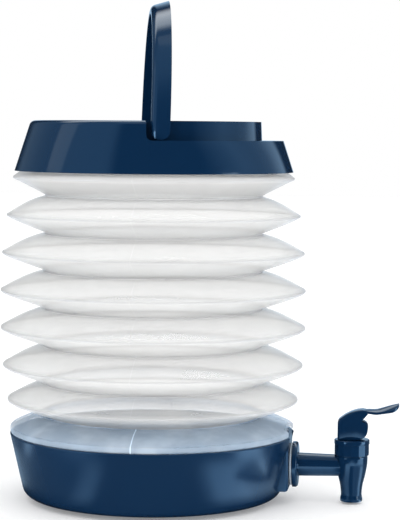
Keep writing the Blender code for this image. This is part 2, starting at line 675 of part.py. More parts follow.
def build_shank_fixings():
    ring_on_shank("outer_washer", PAD_FACE_X + SEAT_GAP, OUTER_WASHER_THICKNESS,
                  OUTER_WASHER_RADIUS, silicone("silicone_outer"))
    ring_on_shank("inner_washer", NUT_FACE_X + SEAT_GAP, INNER_WASHER_THICKNESS,
                  INNER_WASHER_RADIUS, silicone("silicone_inner"))
    low_x = NUT_FACE_X - NUT_THICKNESS
    chamfer = NUT_CHAMFER
    hexagon = [(0, low_x), (NUT_RADIUS - chamfer, low_x), (NUT_RADIUS, low_x + chamfer),
               (NUT_RADIUS, NUT_FACE_X), (0, NUT_FACE_X)]
    nut = place("shank_nut", turned(hexagon, 6, axis_to=(1, 0, 0)), navy("navy_nut"),
                at=(0, 0, SHANK_Z))
    cut(nut, shank_hole_through_nut(low_x))


def shank_hole_through_nut(low_x):
    length = NUT_THICKNESS + 2 * CUT_OVERRUN
    bore = rod(SHANK_THREAD_RADIUS + RUNNING_GAP, length, MID_FACETS)
    return place("nut_bore", turned(bore, MID_FACETS, axis_to=(1, 0, 0)),
                 at=(low_x - CUT_OVERRUN, 0, SHANK_Z))


def build_bonnet():
    edge = BONNET_EDGE
    band_z = BONNET_TOP_Z - BONNET_BAND
    band = [(0, band_z), (BONNET_RADIUS, band_z), (BONNET_RADIUS, BONNET_TOP_Z - edge),
            (BONNET_RADIUS - edge, BONNET_TOP_Z), (0, BONNET_TOP_Z)]
    bonnet = place("tap_bonnet", turned(band, BONNET_FLATS * 2), navy("navy_bonnet"),
                   at=(TAP_REACH, 0, 0))
    grip = [(0, BONNET_BOTTOM_Z), (BONNET_FLAT_RADIUS, BONNET_BOTTOM_Z),
            (BONNET_FLAT_RADIUS, band_z + edge), (0, band_z + edge)]
    join(bonnet, place("bonnet_flats", turned(grip, BONNET_FLATS), at=(TAP_REACH, 0, 0)))
    inner = TAP_COLLAR_RADIUS + RUNNING_GAP
    ceiling = BONNET_TOP_Z - BONNET_TOP
    hollow = [(0, BONNET_BOTTOM_Z - CUT_OVERRUN), (inner, BONNET_BOTTOM_Z - CUT_OVERRUN),
              (inner, ceiling), (BONNET_HOLE_RADIUS, ceiling),
              (BONNET_HOLE_RADIUS, BONNET_TOP_Z + CUT_OVERRUN),
              (0, BONNET_TOP_Z + CUT_OVERRUN)]
    cut(bonnet, place("bonnet_hollow", turned(hollow, MID_FACETS), at=(TAP_REACH, 0, 0)))


def build_stem(stem_frame):
    """The stem's frame has its origin on the lever's pin."""
    low = BUTTON_BOTTOM_Z - PIN_Z
    shoulder = BUTTON_TOP_Z - PIN_Z
    outline = [(0, low), (STEM_BUTTON_RADIUS, low), (STEM_BUTTON_RADIUS, shoulder),
               (STEM_RADIUS, shoulder), (STEM_RADIUS, -PIN_RADIUS), (0, -PIN_RADIUS)]
    stem = place("valve_stem", turned(outline, SMALL_FACETS), navy("navy_stem"),
                 parent=stem_frame)
    eye = rod(EYE_RADIUS, EYE_THICKNESS, SMALL_FACETS)
    join(stem, place("stem_eye", turned(eye, SMALL_FACETS, axis_to=(0, 1, 0)),
                     parent=stem_frame, at=(0, -EYE_THICKNESS / 2, 0)))
    cut(stem, pin_hole("stem_pin_hole", stem_frame))

    length = 2 * (HUB_HALF_WIDTH - SEAT_GAP)
    pin = rod(PIN_RADIUS, length, SMALL_FACETS)
    steel = plastic("steel_pin", (0.6, 0.6, 0.6), 0.25)
    place("lever_pin", turned(pin, SMALL_FACETS, axis_to=(0, 1, 0)), steel,
          parent=stem_frame, at=(0, -length / 2, 0))


def pin_hole(name, frame):
    length = 2 * (HUB_HALF_WIDTH + CUT_OVERRUN)
    hole = rod(PIN_RADIUS + RUNNING_GAP, length, SMALL_FACETS)
    return place(name, turned(hole, SMALL_FACETS, axis_to=(0, 1, 0)), parent=frame,
                 at=(0, -length / 2, 0))


def build_seat_cup(stem_frame):
    gap = RUNNING_GAP
    bottom = CUP_BOTTOM_Z - PIN_Z
    nose_top = bottom + CUP_NOSE_HEIGHT
    rim_low = COLLAR_TOP_Z + SEAT_GAP - PIN_Z
    rim_top = rim_low + CUP_RIM_THICKNESS
    pocket_top = BUTTON_TOP_Z + gap - PIN_Z
    sleeve_top = rim_low - CUP_FLARE_HEIGHT
    wall = CUP_SLEEVE_RADIUS - STEM_RADIUS - gap
    outline = [
        (0, bottom), (CUP_NOSE_RADIUS, bottom), (CUP_NOSE_RADIUS, nose_top),
        (STEM_BUTTON_RADIUS + gap + wall, pocket_top), (CUP_SLEEVE_RADIUS, pocket_top + wall),
        (CUP_SLEEVE_RADIUS, sleeve_top), (CHAMBER_RADIUS - wall, rim_low),
        (CUP_RIM_RADIUS, rim_low), (CUP_RIM_RADIUS, rim_top),
        (CHAMBER_RADIUS - 2 * wall, rim_top), (STEM_RADIUS + gap, sleeve_top + wall),
        (STEM_RADIUS + gap, pocket_top), (STEM_BUTTON_RADIUS + gap, pocket_top),
        (STEM_BUTTON_RADIUS + gap, bottom + CUP_FLOOR), (0, bottom + CUP_FLOOR),
    ]
    place("seat_cup", turned(outline, SMALL_FACETS), silicone("silicone_cup"),
          parent=stem_frame)


def cam_point(turn):
    """The hub's outline where it bears on the bonnet at a turn of the lever. The pin's
    height then grows evenly with the turn."""
    height = CAM_BASE + CAM_LIFT_PER_RADIAN * turn
    return (height * math.sin(turn) + CAM_LIFT_PER_RADIAN * math.cos(turn),
            -height * math.cos(turn) + CAM_LIFT_PER_RADIAN * math.sin(turn))


def hub_outline():
    cam = [cam_point(CAM_THROW * step / CAM_STEPS) for step in range(CAM_STEPS + 1)]
    end = cam[-1]
    centre = (end[0] - HEEL_RADIUS * math.sin(CAM_THROW),
              end[1] + HEEL_RADIUS * math.cos(CAM_THROW))
    heel = arc(centre, HEEL_RADIUS, CAM_THROW - math.pi / 2, 0, HEEL_STEPS)[1:]
    toe_top = (WEB_TOE[0], arm_top(WEB_TOE[0]))
    outline = [(HUB_TOP[-1][0], -CAM_BASE)] + cam + heel + list(HEEL_TOP)
    return outline + [WEB_TOE, toe_top, ARM_ROOT] + list(HUB_TOP)


def arm_top(place_x):
    """Height of the arm's top line at a distance from the pin."""
    start, control, end = ARM_ROOT, ARM_MIDDLE, ARM_TIP
    low, high = 0.0, 1.0
    for _ in range(30):
        t = (low + high) / 2
        reached = (1 - t) ** 2 * start[0] + 2 * t * (1 - t) * control[0] + t * t * end[0]
        if reached < place_x:
            low = t
        else:
            high = t
    return (1 - t) ** 2 * start[1] + 2 * t * (1 - t) * control[1] + t * t * end[1]


def build_arm():
    """The dished finger paddle, lofted along the arm's top line."""
    spine = bezier(ARM_ROOT, ARM_MIDDLE, ARM_TIP, ARM_STEPS)
    half_shares = (-1.0, -0.55, 0.0, 0.55, 1.0)
    shape = bmesh.new()
    rings = []
    for step, (x, z) in enumerate(spine):
        t = step / ARM_STEPS
        half = ARM_ROOT_HALF_WIDTH + (ARM_HALF_WIDTH - ARM_ROOT_HALF_WIDTH) * math.sin(
            math.pi / 2 * min(t / 0.7, 1.0))
        if t > 0.7:
            half *= math.sqrt(max(1 - ((t - 0.7) / 0.34) ** 2, 0.0))
        rim = [(x, share * half, z - ARM_DISH * (1 - share ** 2)) for share in half_shares]
        under = [(x, share * half, z - ARM_THICKNESS - ARM_DISH * (1 - share ** 2))
                 for share in reversed(half_shares)]
        rings.append([shape.verts.new(point) for point in rim + under])
    size = 2 * len(half_shares)
    for near, far in zip(rings, rings[1:]):
        for index in range(size):
            after = (index + 1) % size
            shape.faces.new((near[index], near[after], far[after], far[index]))
    half_size = len(half_shares)
    for ring in (rings[0], rings[-1]):
        for index in range(half_size - 1):
            shape.faces.new((ring[index], ring[index + 1],
                             ring[size - 2 - index], ring[size - 1 - index]))
    bmesh.ops.recalc_face_normals(shape, faces=shape.faces)
    return shape


def build_lever(stem_frame):
    pivot = guide("lever_pivot", parent=stem_frame)
    lever = place("tap_lever", prism(hub_outline(), -HUB_HALF_WIDTH, HUB_HALF_WIDTH),
                  navy("navy_lever"), parent=pivot)
    join(lever, place("lever_arm", build_arm(), parent=pivot))
    reach = WEB_TOE[0] + CUT_OVERRUN
    slot = block((-SLOT_BACK, -SLOT_HALF_WIDTH, -CAM_BASE - CUT_OVERRUN),
                 (reach, SLOT_HALF_WIDTH, SLOT_TOP))
    cut(lever, place("lever_slot", slot, parent=pivot))
    cut(lever, pin_hole("lever_pin_hole", pivot))


def main():
    clear_scene()
    build_base()
    build_pan()
    build_bellows()
    build_neck()
    lid_frame = guide("lid_frame", turn=(0, 0, LID_YAW))
    build_lid_cover(lid_frame)
    build_lid_liner(lid_frame)
    build_lid_gasket()
    build_handle(lid_frame)
    build_tap_body()
    build_shank_fixings()
    build_bonnet()
    stem_frame = guide("stem_frame", at=(TAP_REACH, 0, PIN_Z))
    build_stem(stem_frame)
    build_seat_cup(stem_frame)
    build_lever(stem_frame)


main()
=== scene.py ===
import math

import bmesh
import bpy
from mathutils import Matrix, Vector


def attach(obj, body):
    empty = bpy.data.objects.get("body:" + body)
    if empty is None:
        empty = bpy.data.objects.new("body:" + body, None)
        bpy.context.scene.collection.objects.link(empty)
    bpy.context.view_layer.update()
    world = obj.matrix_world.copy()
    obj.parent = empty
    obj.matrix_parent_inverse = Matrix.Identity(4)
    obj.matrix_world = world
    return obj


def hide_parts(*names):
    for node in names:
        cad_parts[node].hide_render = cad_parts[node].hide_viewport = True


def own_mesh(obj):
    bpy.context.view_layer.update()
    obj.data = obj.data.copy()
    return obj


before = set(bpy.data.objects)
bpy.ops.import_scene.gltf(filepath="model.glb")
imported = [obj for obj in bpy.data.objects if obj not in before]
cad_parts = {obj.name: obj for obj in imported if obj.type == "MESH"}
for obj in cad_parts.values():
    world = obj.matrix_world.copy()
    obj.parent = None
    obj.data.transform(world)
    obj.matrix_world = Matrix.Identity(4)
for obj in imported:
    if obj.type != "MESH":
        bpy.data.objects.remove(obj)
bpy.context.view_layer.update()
print("frame loaded")

lidTurn = math.radians(11.0)   # the lid and its handle sit turned a little towards the tap
overrun = 0.004   # how far a cutting shape runs past what it cuts
play = 0.0003     # between pieces that rest on each other
hair = 0.00001    # places closer than this count as one
mergeDistance = 0.000002
fadePower = 1.5   # how the mark near a ring fades around it: denser plastic, and on the milky wall painted shade


shot = {
    "sensor": 36.0,
    "lens": 166.5,
    "yaw": 7.0,
    "pitch": 3.97,
    "roll": 0.45,
    "distance": 1.2765,
    "aside": 0.0320,
    "eyeHeight": 0.2541,
}


def setCamera():
    yaw = math.radians(shot["yaw"])
    ahead = Vector((-math.sin(yaw), math.cos(yaw), 0.0))
    right = Vector((math.cos(yaw), math.sin(yaw), 0.0))
    cameraData = bpy.data.cameras.new("productCamera")
    cameraData.sensor_width = shot["sensor"]
    cameraData.sensor_fit = "HORIZONTAL"
    cameraData.lens = shot["lens"]
    cameraObject = bpy.data.objects.new("productCamera", cameraData)
    bpy.context.scene.collection.objects.link(cameraObject)
    place = Matrix.Translation(-ahead * shot["distance"] + right * shot["aside"]
                               + Vector((0, 0, shot["eyeHeight"])))
    turn = Matrix.Rotation(yaw, 4, "Z") @ Matrix.Rotation(math.radians(90.0 - shot["pitch"]), 4, "X")
    cameraObject.matrix_world = place @ turn @ Matrix.Rotation(math.radians(shot["roll"]), 4, "Z")
    bpy.context.scene.camera = cameraObject


setCamera()


def makeNode(tree, kind, **values):
    node = tree.nodes.new(kind)
    for key, value in values.items():
        if key in node.inputs:
            node.inputs[key].default_value = value
        else:
            setattr(node, key, value)
    return node


def newMaterial(name):
    material = bpy.data.materials.new(name)
    material.use_nodes = True
    return material, material.node_tree, material.node_tree.nodes["Principled BSDF"]


# links a socket to an input, and sets the input where a plain value is given
def feed(tree, value, target):
    if isinstance(value, bpy.types.NodeSocket):
        tree.links.new(value, target)
    else:
        target.default_value = value


def compute(tree, operation, *values, clamp=False):
    node = makeNode(tree, "ShaderNodeMath", operation=operation, use_clamp=clamp)
    for value, target in zip(values, node.inputs):
        feed(tree, value, target)
    return node.outputs[0]


def vectorMath(tree, operation, *values, output="Value"):
    node = makeNode(tree, "ShaderNodeVectorMath", operation=operation)
    for value, target in zip(values, node.inputs):
        feed(tree, value, target)
    return node.outputs[output]


def coordinate(tree, place, name):
    node = makeNode(tree, "ShaderNodeSeparateXYZ")
    tree.links.new(place, node.inputs[0])
    return node.outputs[name]


def ranged(tree, value, span, results=(0.0, 1.0), kind="SMOOTHSTEP"):
    node = makeNode(tree, "ShaderNodeMapRange", interpolation_type=kind)
    tree.links.new(value, node.inputs["Value"])
    for name, given in zip(("From Min", "From Max", "To Min", "To Max"), (*span, *results)):
        node.inputs[name].default_value = given
    return node.outputs["Result"]


def mixed(tree, factor, first, second, kind="RGBA"):
    node = makeNode(tree, "ShaderNodeMix", data_type=kind)
    places = {"FLOAT": (2, 3, 0), "RGBA": (6, 7, 2)}[kind]
    feed(tree, factor, node.inputs[0])
    feed(tree, first, node.inputs[places[0]])
    feed(tree, second, node.inputs[places[1]])
    return node.outputs[places[2]]


# the noises hold detail and roughness, and their scale before them where it is fixed
moulding = {
    "cloud": (3.0, 0.55),
    "patches": (0.38, 0.68),
    "haze": (45.0, 4.0, 0.6),
    "grain": (2.0, 0.5),
    "seamWander": (30.0, 1.0, 0.5),
    "wanderReach": 0.0004,
    "seamHalf": 0.0005,
}
mouldedSockets = {
    "INPUT": ("Colour", "Drift Colour", "Drift", "Drift Scale", "Patchiness", "Roughness",
              "Roughness Spread", "Grain Scale", "Seam", "Seam Colour"),
    "OUTPUT": ("Colour", "Roughness", "Height", "Patches", "Seam"),
}


# colour drift, gloss drift and fine surface relief of a moulded plastic
def makeMouldedGroup():
    group = bpy.data.node_groups.new("mouldedSurface", "ShaderNodeTree")
    for side, labels in mouldedSockets.items():
        for label in labels:
            kind = "NodeSocketColor" if "Colour" in label else "NodeSocketFloat"
            group.interface.new_socket(name=label, in_out=side, socket_type=kind)
    given = group.nodes.new("NodeGroupInput").outputs
    result = group.nodes.new("NodeGroupOutput").inputs
    place = makeNode(group, "ShaderNodeTexCoord").outputs["Object"]

    def noise(scale, detail, roughness):
        node = makeNode(group, "ShaderNodeTexNoise", Detail=detail, Roughness=roughness)
        group.links.new(place, node.inputs["Vector"])
        feed(group, scale, node.inputs["Scale"])
        return node.outputs["Fac"]

    cloud = noise(given["Drift Scale"], *moulding["cloud"])
    patches = ranged(group, cloud, moulding["patches"])
    drift = compute(group, "MULTIPLY", mixed(group, given["Patchiness"], cloud, patches, "FLOAT"),
                    given["Drift"])
    tint = mixed(group, drift, given["Colour"], given["Drift Colour"])
    spread = compute(group, "MULTIPLY", noise(*moulding["haze"]), given["Roughness Spread"])
    grain = noise(given["Grain Scale"], *moulding["grain"])
    # the mould's parting line runs down the front and the back, where x is nought
    reach = moulding["wanderReach"]
    wander = compute(group, "MULTIPLY_ADD", noise(*moulding["seamWander"]), reach, -reach / 2)
    away = compute(group, "ABSOLUTE", compute(group, "ADD", coordinate(group, place, "X"), wander))
    ridge = ranged(group, away, (0.0, moulding["seamHalf"]), (1.0, 0.0))
    seam = compute(group, "MULTIPLY", ridge, given["Seam"], clamp=True)
    group.links.new(mixed(group, seam, tint, given["Seam Colour"]), result["Colour"])
    group.links.new(compute(group, "ADD", spread, given["Roughness"]), result["Roughness"])
    group.links.new(compute(group, "ADD", grain, seam), result["Height"])
    group.links.new(patches, result["Patches"])
    group.links.new(seam, result["Seam"])
    return group


mouldedGroup = makeMouldedGroup()


# where the mesh marks a ring, the plastic is denser, and its colour goes towards the fold colour: on the
# milky wall that grey is painted shade in the folds
def addRingMark(tree, surface, shader, look):
    thick = makeNode(tree, "ShaderNodeAttribute", attribute_name="thickness").outputs["Fac"]
    # the fold colour is mixed in here, which on the milky wall is painted shade
    tone = mixed(tree, thick, surface.outputs["Colour"], (*look["thickColour"], 1.0))
    tree.links.new(tone, shader.inputs["Base Color"])
    cover = ranged(tree, thick, (0.0, 1.0), (look["alpha"], look["thickAlpha"]), "LINEAR")
    hazed = compute(tree, "MULTIPLY_ADD", surface.outputs["Patches"], look["patchAlpha"], cover)
    lined = compute(tree, "MULTIPLY_ADD", surface.outputs["Seam"], look["seamAlpha"], hazed, clamp=True)
    # seen edge-on, the light has more of the wall to pass
    slant = makeNode(tree, "ShaderNodeLayerWeight", Blend=0.5)
    steep = compute(tree, "POWER", slant.outputs["Facing"], look["edgePower"])
    denser = compute(tree, "MULTIPLY_ADD", steep, look["edgeAlpha"], lined, clamp=True)
    tree.links.new(denser, shader.inputs["Alpha"])


reliefDepth = 0.0004
# the group's inputs, the names that a look gives them, and their usual values
plainLook = {
    "Drift": ("drift", 0.4),
    "Drift Scale": ("driftScale", 18.0),
    "Patchiness": ("patchiness", 0.0),
    "Roughness": ("roughness", 0.2),
    "Roughness Spread": ("spread", 0.06),
    "Grain Scale": ("grainScale", 900.0),
    "Seam": ("seam", 0.0),
}


def makePlastic(name, colour, driftColour, **look):
    material, tree, shader = newMaterial(name)
    surface = makeNode(tree, "ShaderNodeGroup", node_tree=mouldedGroup)
    colours = {"Colour": colour, "Drift Colour": driftColour, "Seam Colour": look.get("seamColour", colour)}
    for socket, shade in colours.items():
        surface.inputs[socket].default_value = (*shade, 1.0)
    for socket, (key, usual) in plainLook.items():
        surface.inputs[socket].default_value = look.get(key, usual)
    bump = makeNode(tree, "ShaderNodeBump", Strength=look["relief"], Distance=reliefDepth)
    tree.links.new(surface.outputs["Height"], bump.inputs["Height"])
    tree.links.new(surface.outputs["Colour"], shader.inputs["Base Color"])
    tree.links.new(surface.outputs["Roughness"], shader.inputs["Roughness"])
    tree.links.new(bump.outputs["Normal"], shader.inputs["Normal"])
    constants = {"IOR": 1.5, "Alpha": look.get("alpha", 1.0), "Metallic": look.get("metallic", 0.0),
                 "Specular Tint": (*look.get("glossTint", (1.0, 1.0, 1.0)), 1.0)}
    for socket, value in constants.items():
        shader.inputs[socket].default_value = value
    if "thickAlpha" in look:
        addRingMark(tree, surface, shader, look)
    return material


coolGloss = (0.62, 0.84, 1.0)
navyGloss = makePlastic("navyGloss", (0.0022, 0.0150, 0.0440), (0.0029, 0.0185, 0.0530),
                        roughness=0.07, spread=0.05, relief=0.02, glossTint=coolGloss)
navySatin = makePlastic("navySatin", (0.0027, 0.0180, 0.0520), (0.0036, 0.0220, 0.0620),
                        roughness=0.19, relief=0.04, glossTint=coolGloss)
# the rolled edges and folds of the blown wall are thicker, so they let less light through, and their grey
# fold colour is painted shade
milkyWall = makePlastic("milkyWall", (0.95, 0.95, 0.94), (0.91, 0.915, 0.91),
                        roughness=0.27, spread=0.05, relief=0.008, grainScale=350.0,
                        alpha=0.23, patchAlpha=0.03, edgeAlpha=0.33, edgePower=3.0,
                        seam=0.35, seamAlpha=0.2, seamColour=(0.55, 0.55, 0.56),
                        thickAlpha=0.62, thickColour=(0.54, 0.54, 0.55), glossTint=(1.0, 0.86, 0.72))
# the clear pan is painted blue: painted light standing in for the navy dish's light bouncing in it and
# showing through it; its fold colour is that painted blue paled by thicker haze, and the drift colour is its
# haze
hazyWall = makePlastic("hazyWall", (0.46, 0.66, 0.88), (0.94, 0.96, 0.97),
                       roughness=0.12, spread=0.10, relief=0.03, grainScale=350.0,
                       drift=0.8, driftScale=34.0, patchiness=1.0,
                       alpha=0.21, patchAlpha=0.12, edgeAlpha=0.2, edgePower=3.0,
                       seam=0.8, seamAlpha=0.8, seamColour=(0.95, 0.95, 0.95),
                       thickAlpha=0.36, thickColour=(0.62, 0.75, 0.90))
siliconeRubber = makePlastic("siliconeRubber", (0.52, 0.60, 0.68), (0.60, 0.68, 0.75),
                             roughness=0.5, relief=0.1)
pinSteel = makePlastic("pinSteel", (0.55, 0.55, 0.56), (0.62, 0.62, 0.63),
                       roughness=0.22, relief=0.05, metallic=1.0)
print("materials made")


def smoothArc(centre, radius, startAngle, endAngle, steps):
    points = []
    for step in range(steps + 1):
        angle = math.radians(startAngle + (endAngle - startAngle) * step / steps)
        points.append((centre[0] + radius * math.cos(angle), centre[1] + radius * math.sin(angle)))
    return points


# a soft curve through the given points
def flowing(points, between=6):
    curve = []
    for index in range(len(points) - 1):
        before = Vector(points[max(index - 1, 0)])
        start = Vector(points[index])
        end = Vector(points[index + 1])
        after = Vector(points[min(index + 2, len(points) - 1)])
        for step in range(between):
            t = step / between
            curve.append(tuple(0.5 * (2 * start + (end - before) * t
                                      + (2 * before - 5 * start + 4 * end - after) * t ** 2
                                      + (3 * start - before - 3 * end + after) * t ** 3)))
    curve.append(tuple(points[-1]))
    return curve


def faceOutward(bm):
    bmesh.ops.recalc_face_normals(bm, faces=bm.faces)


# spins an outline of (radius, height) round Z
def spun(outline, steps=144, ring=False):
    bm = bmesh.new()
    dots = [bm.verts.new((radius, 0.0, height)) for radius, height in outline]
    lines = [bm.edges.new(pair) for pair in zip(dots, dots[1:])]
    if ring:
        lines.append(bm.edges.new((dots[-1], dots[0])))
    bmesh.ops.spin(bm, geom=dots + lines, cent=(0, 0, 0), axis=(0, 0, 1),
                   angle=2 * math.pi, steps=steps, use_merge=True)
    bmesh.ops.remove_doubles(bm, verts=bm.verts, dist=mergeDistance)
    faceOutward(bm)
    return bm


def rod(radius, low, high, steps):
    return spun([(0, low), (radius, low), (radius, high), (0, high)], steps)


def along(bm, direction, start=(0, 0, 0)):
    swing = Vector((0, 0, 1)).rotation_difference(Vector(direction)).to_matrix()
    bmesh.ops.rotate(bm, verts=bm.verts, cent=(0, 0, 0), matrix=swing)
    bmesh.ops.translate(bm, verts=bm.verts, vec=start)
    return bm


def boxShape(low, high):
    bm = bmesh.new()
    bmesh.ops.create_cube(bm, size=1.0)
    bmesh.ops.scale(bm, verts=bm.verts, vec=Vector(high) - Vector(low))
    bmesh.ops.translate(bm, verts=bm.verts, vec=(Vector(high) + Vector(low)) / 2)
    return bm


# an outline of (x, z) pulled out along Y
def pulled(outline, lowY, highY):
    bm = bmesh.new()
    face = bm.faces.new([bm.verts.new((x, lowY, z)) for x, z in outline])
    made = bmesh.ops.extrude_face_region(bm, geom=[face])
    moved = [part for part in made["geom"] if isinstance(part, bmesh.types.BMVert)]
    bmesh.ops.translate(bm, verts=moved, vec=(0, highY - lowY, 0))
    faceOutward(bm)
    return bm


def newObject(name, bm):
    mesh = bpy.data.meshes.new(name)
    bm.to_mesh(mesh)
    bm.free()
    thing = bpy.data.objects.new(name, mesh)
    bpy.context.scene.collection.objects.link(thing)
    return thing


# writes what the modifiers make into the mesh
def settle(thing):
    shown = thing.evaluated_get(bpy.context.evaluated_depsgraph_get())
    mesh = bpy.data.meshes.new_from_object(shown)
    old = thing.data
    thing.modifiers.clear()
    thing.data = mesh
    mesh.name = thing.name
    bpy.data.meshes.remove(old)


def carve(thing, tool, operation="DIFFERENCE"):
    if not isinstance(tool, bpy.types.Object):
        tool = newObject("carvingTool", tool)
    step = thing.modifiers.new("carving", "BOOLEAN")
    step.operation = operation
    step.solver = "EXACT"
    step.object = tool
    settle(thing)
    bpy.data.objects.remove(tool, do_unlink=True)


def soften(thing, width, segments=3, angle=32.0):
    bevel = thing.modifiers.new("edges", "BEVEL")
    bevel.width = width
    bevel.segments = segments
    bevel.limit_method = "ANGLE"
    bevel.angle_limit = math.radians(angle)
    bevel.use_clamp_overlap = True
    settle(thing)


def tidyMesh(thing):
    bm = bmesh.new()
    bm.from_mesh(thing.data)
    bmesh.ops.remove_doubles(bm, verts=bm.verts, dist=mergeDistance)
    bm.to_mesh(thing.data)
    bm.free()


def turnWithLid(thing):
    thing.data.transform(Matrix.Rotation(lidTurn, 4, "Z"))


# raises points of (radius, rise) to a height
def lifted(points, height):
    return [(radius, height + rise) for radius, rise in points]


# marks how close each point is to one of the rings, given as (radius, height)
def markNearRings(thing, rings, reach):
    mesh = thing.data
    mark = mesh.attributes.new("thickness", "FLOAT", "POINT")
    for index, vert in enumerate(mesh.vertices):
        radius = math.hypot(vert.co.x, vert.co.y)
        nearest = min(math.hypot(radius - ring[0], vert.co.z - ring[1]) for ring in rings)
        mark.data[index].value = max(0.0, 1.0 - nearest / reach) ** fadePower


def finishPiece(thing, material, slotName, body, *nodes, sharp=34.0):
    mesh = thing.data
    mesh.materials.clear()
    mesh.materials.append(material)
    mesh.shade_smooth()
    mesh.set_sharp_from_angle(angle=math.radians(sharp))
    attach(thing, body)
    if nodes:
        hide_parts(*nodes)


dish = {
    "rim": 0.0989,
    "top": 0.0465,
    "slope": 13.0,
    "foot": 0.0720,
    "footHeight": 0.0024,
    "footEdge": 0.0006,
    "corner": 0.0080,
    "wall": 0.0023,
    "edge": 0.0009,
    "padFace": 0.0962,
    "padHalf": 0.0180,
    "padBottom": 0.0095,
    "padEdge": 0.0024,
    "leastEdge": 0.0006,
    "padRoot": 0.070,
    "cutEnd": 0.12,
    "cutPast": 0.01,
    "shankHeight": 0.0258,
    "shankHole": 0.0081,
    "holeStart": 0.080,
    "holeEnd": 0.110,
}


def dishRadius(inset, height):
    slant = math.radians(dish["slope"])
    return dish["rim"] - (dish["top"] - height) * math.tan(slant) - inset / math.cos(slant)


def dishCurve(inset, height):
    radius = dish["corner"] - inset
    middle = dish["footHeight"] + dish["corner"]
    centre = (dishRadius(inset, middle) - radius / math.cos(math.radians(dish["slope"])), middle)
    return smoothArc(centre, radius, -90.0, -dish["slope"], 14) + [(dishRadius(inset, height), height)]


# the flat that the tap is bolted to, inset like the wall it belongs to
def fitPad(thing, inset, height):
    face = dish["padFace"] - inset
    half = dish["padHalf"]
    past = dish["cutPast"]
    carve(thing, boxShape((face, -half - inset, -past), (dish["cutEnd"], half + inset, height + past)))
    pad = boxShape((dish["padRoot"], -half + inset, dish["padBottom"] + inset), (face, half - inset, height))
    outer = [edge for edge in pad.edges
             if all(abs(vert.co.x - face) < hair for vert in edge.verts)
             and sum(vert.co.z for vert in edge.verts) < 2 * height - hair]
    bmesh.ops.bevel(pad, geom=outer, offset=max(dish["padEdge"] - inset, dish["leastEdge"]),
                    offset_type="OFFSET", segments=5, profile=0.5, affect="EDGES", material=-1)
    carve(thing, pad, "UNION")


def boreShank(thing):
    hole = rod(dish["shankHole"], dish["holeStart"], dish["holeEnd"], 64)
    carve(thing, along(hole, (1, 0, 0), (0, 0, dish["shankHeight"])))


def makeBase():
    edge = dish["edge"]
    rimHeight = dish["top"] - edge
    rimArc = smoothArc((dishRadius(0, rimHeight) - edge, rimHeight), edge, 0.0, 90.0, 5)
    foot = [(0, 0), (dish["foot"] - dish["footEdge"], 0), (dish["foot"], dish["footEdge"]),
            (dish["foot"], dish["footHeight"])]
    outside = foot + dishCurve(0, rimHeight) + rimArc[1:] + [(0, dish["top"])]
    body = newObject("dishBase", spun(outside))
    fitPad(body, 0.0, dish["top"])
    well = dish["foot"] - dish["wall"]
    high = dish["top"] + overrun
    inside = [(0, dish["wall"]), (well, dish["wall"]), (well, dish["footHeight"] + dish["wall"])]
    inside += dishCurve(dish["wall"], high) + [(0, high)]
    hollow = newObject("dishHollow", spun(inside))
    fitPad(hollow, dish["wall"], high)
    carve(body, hollow)
    boreShank(body)
    tidyMesh(body)
    finishPiece(body, navySatin, "navy_plastic", "base", "base_shell")


makeBase()
print("base made")


reservoir = {
    "valley": 0.0750,
    "ridge": 0.1052,
    "ridgeShares": (0.962, 0.991, 1.0, 1.0, 0.985, 0.955),
    "bottom": 0.0589,
    "pitch": 0.02575,
    "lowPitch": 0.0222,
    "band": 0.0006,
    "wall": 0.0009,
    "panWall": 0.0015,
    "nestGap": 0.0004,
    "bead": 0.0985,
    "beadHeight": 0.0046,
    "beadEdge": 0.0012,
    "domePower": 1.6,
    "panThick": 0.0022,
    "foldReach": 0.0032,
    "endGap": 0.00015,
    "travel": 0.118,
}
lastPleat = len(reservoir["ridgeShares"]) - 1
bellowsTop = reservoir["bottom"] + reservoir["lowPitch"] + lastPleat * reservoir["pitch"]


def flank(start, end, power, steps):
    points = []
    for step in range(1, steps):
        t = step / steps
        points.append((start[0] + (end[0] - start[0]) * t, start[1] + (end[1] - start[1]) * t ** power))
    return points


def makePan():
    nest = dish["wall"] + reservoir["nestGap"]
    rest = dish["top"] + play
    beadTop = rest + reservoir["beadHeight"]
    bottom = reservoir["bottom"]
    edge = reservoir["beadEdge"]
    wall = reservoir["panWall"]
    power = reservoir["domePower"]
    valley = reservoir["valley"]
    valleyHeight = bottom - reservoir["band"]
    middle = reservoir["bead"] - edge
    beadArc = smoothArc((middle, rest + edge), edge, -90.0, 0.0, 6)
    beadArc += smoothArc((middle, beadTop - edge), edge, 0.0, 70.0, 6)
    shoulder = flank((valley, valleyHeight), beadArc[-1], power, 14)[::-1]
    outside = [(0, dish["footHeight"] + nest)] + dishCurve(nest, rest) + beadArc + shoulder
    outside += [(valley, valleyHeight), (valley, bottom), (0, bottom)]
    pan = newObject("reservoirPan", spun(outside))
    fitPad(pan, nest, rest)
    inset = nest + wall
    inValley = (valley - reservoir["wall"], valleyHeight - wall)
    inRidge = (middle - edge, beadTop - wall)
    inner = flank(inValley, inRidge, power, 10)[::-1]
    high = bottom + overrun
    inside = [(0, dish["footHeight"] + inset)] + dishCurve(inset, rest) + [inRidge] + inner
    hollow = newObject("panHollow", spun(inside + [inValley, (inValley[0], high), (0, high)]))
    fitPad(hollow, inset, rest)
    carve(pan, hollow)
    boreShank(pan)
    tidyMesh(pan)
    rings = [(reservoir["bead"], rest + edge), (reservoir["bead"], beadTop - edge), beadArc[-1],
             (valley, bottom)]
    markNearRings(pan, rings + shoulder, reservoir["panThick"])
    finishPiece(pan, hazyWall, "milky_plastic", "base", "reservoir_pan")


pleat = {
    "ridgeShare": 0.52,
    "valleyLip": 0.0003,
    "shelfIn": 0.0012,
    "shelfUp": 0.0011,
    "lip": 0.0006,
    "lipHalf": 0.0002,
    "fold": 0.0016,
    "upperPower": 1.45,
    "lowerPower": 0.92,
}


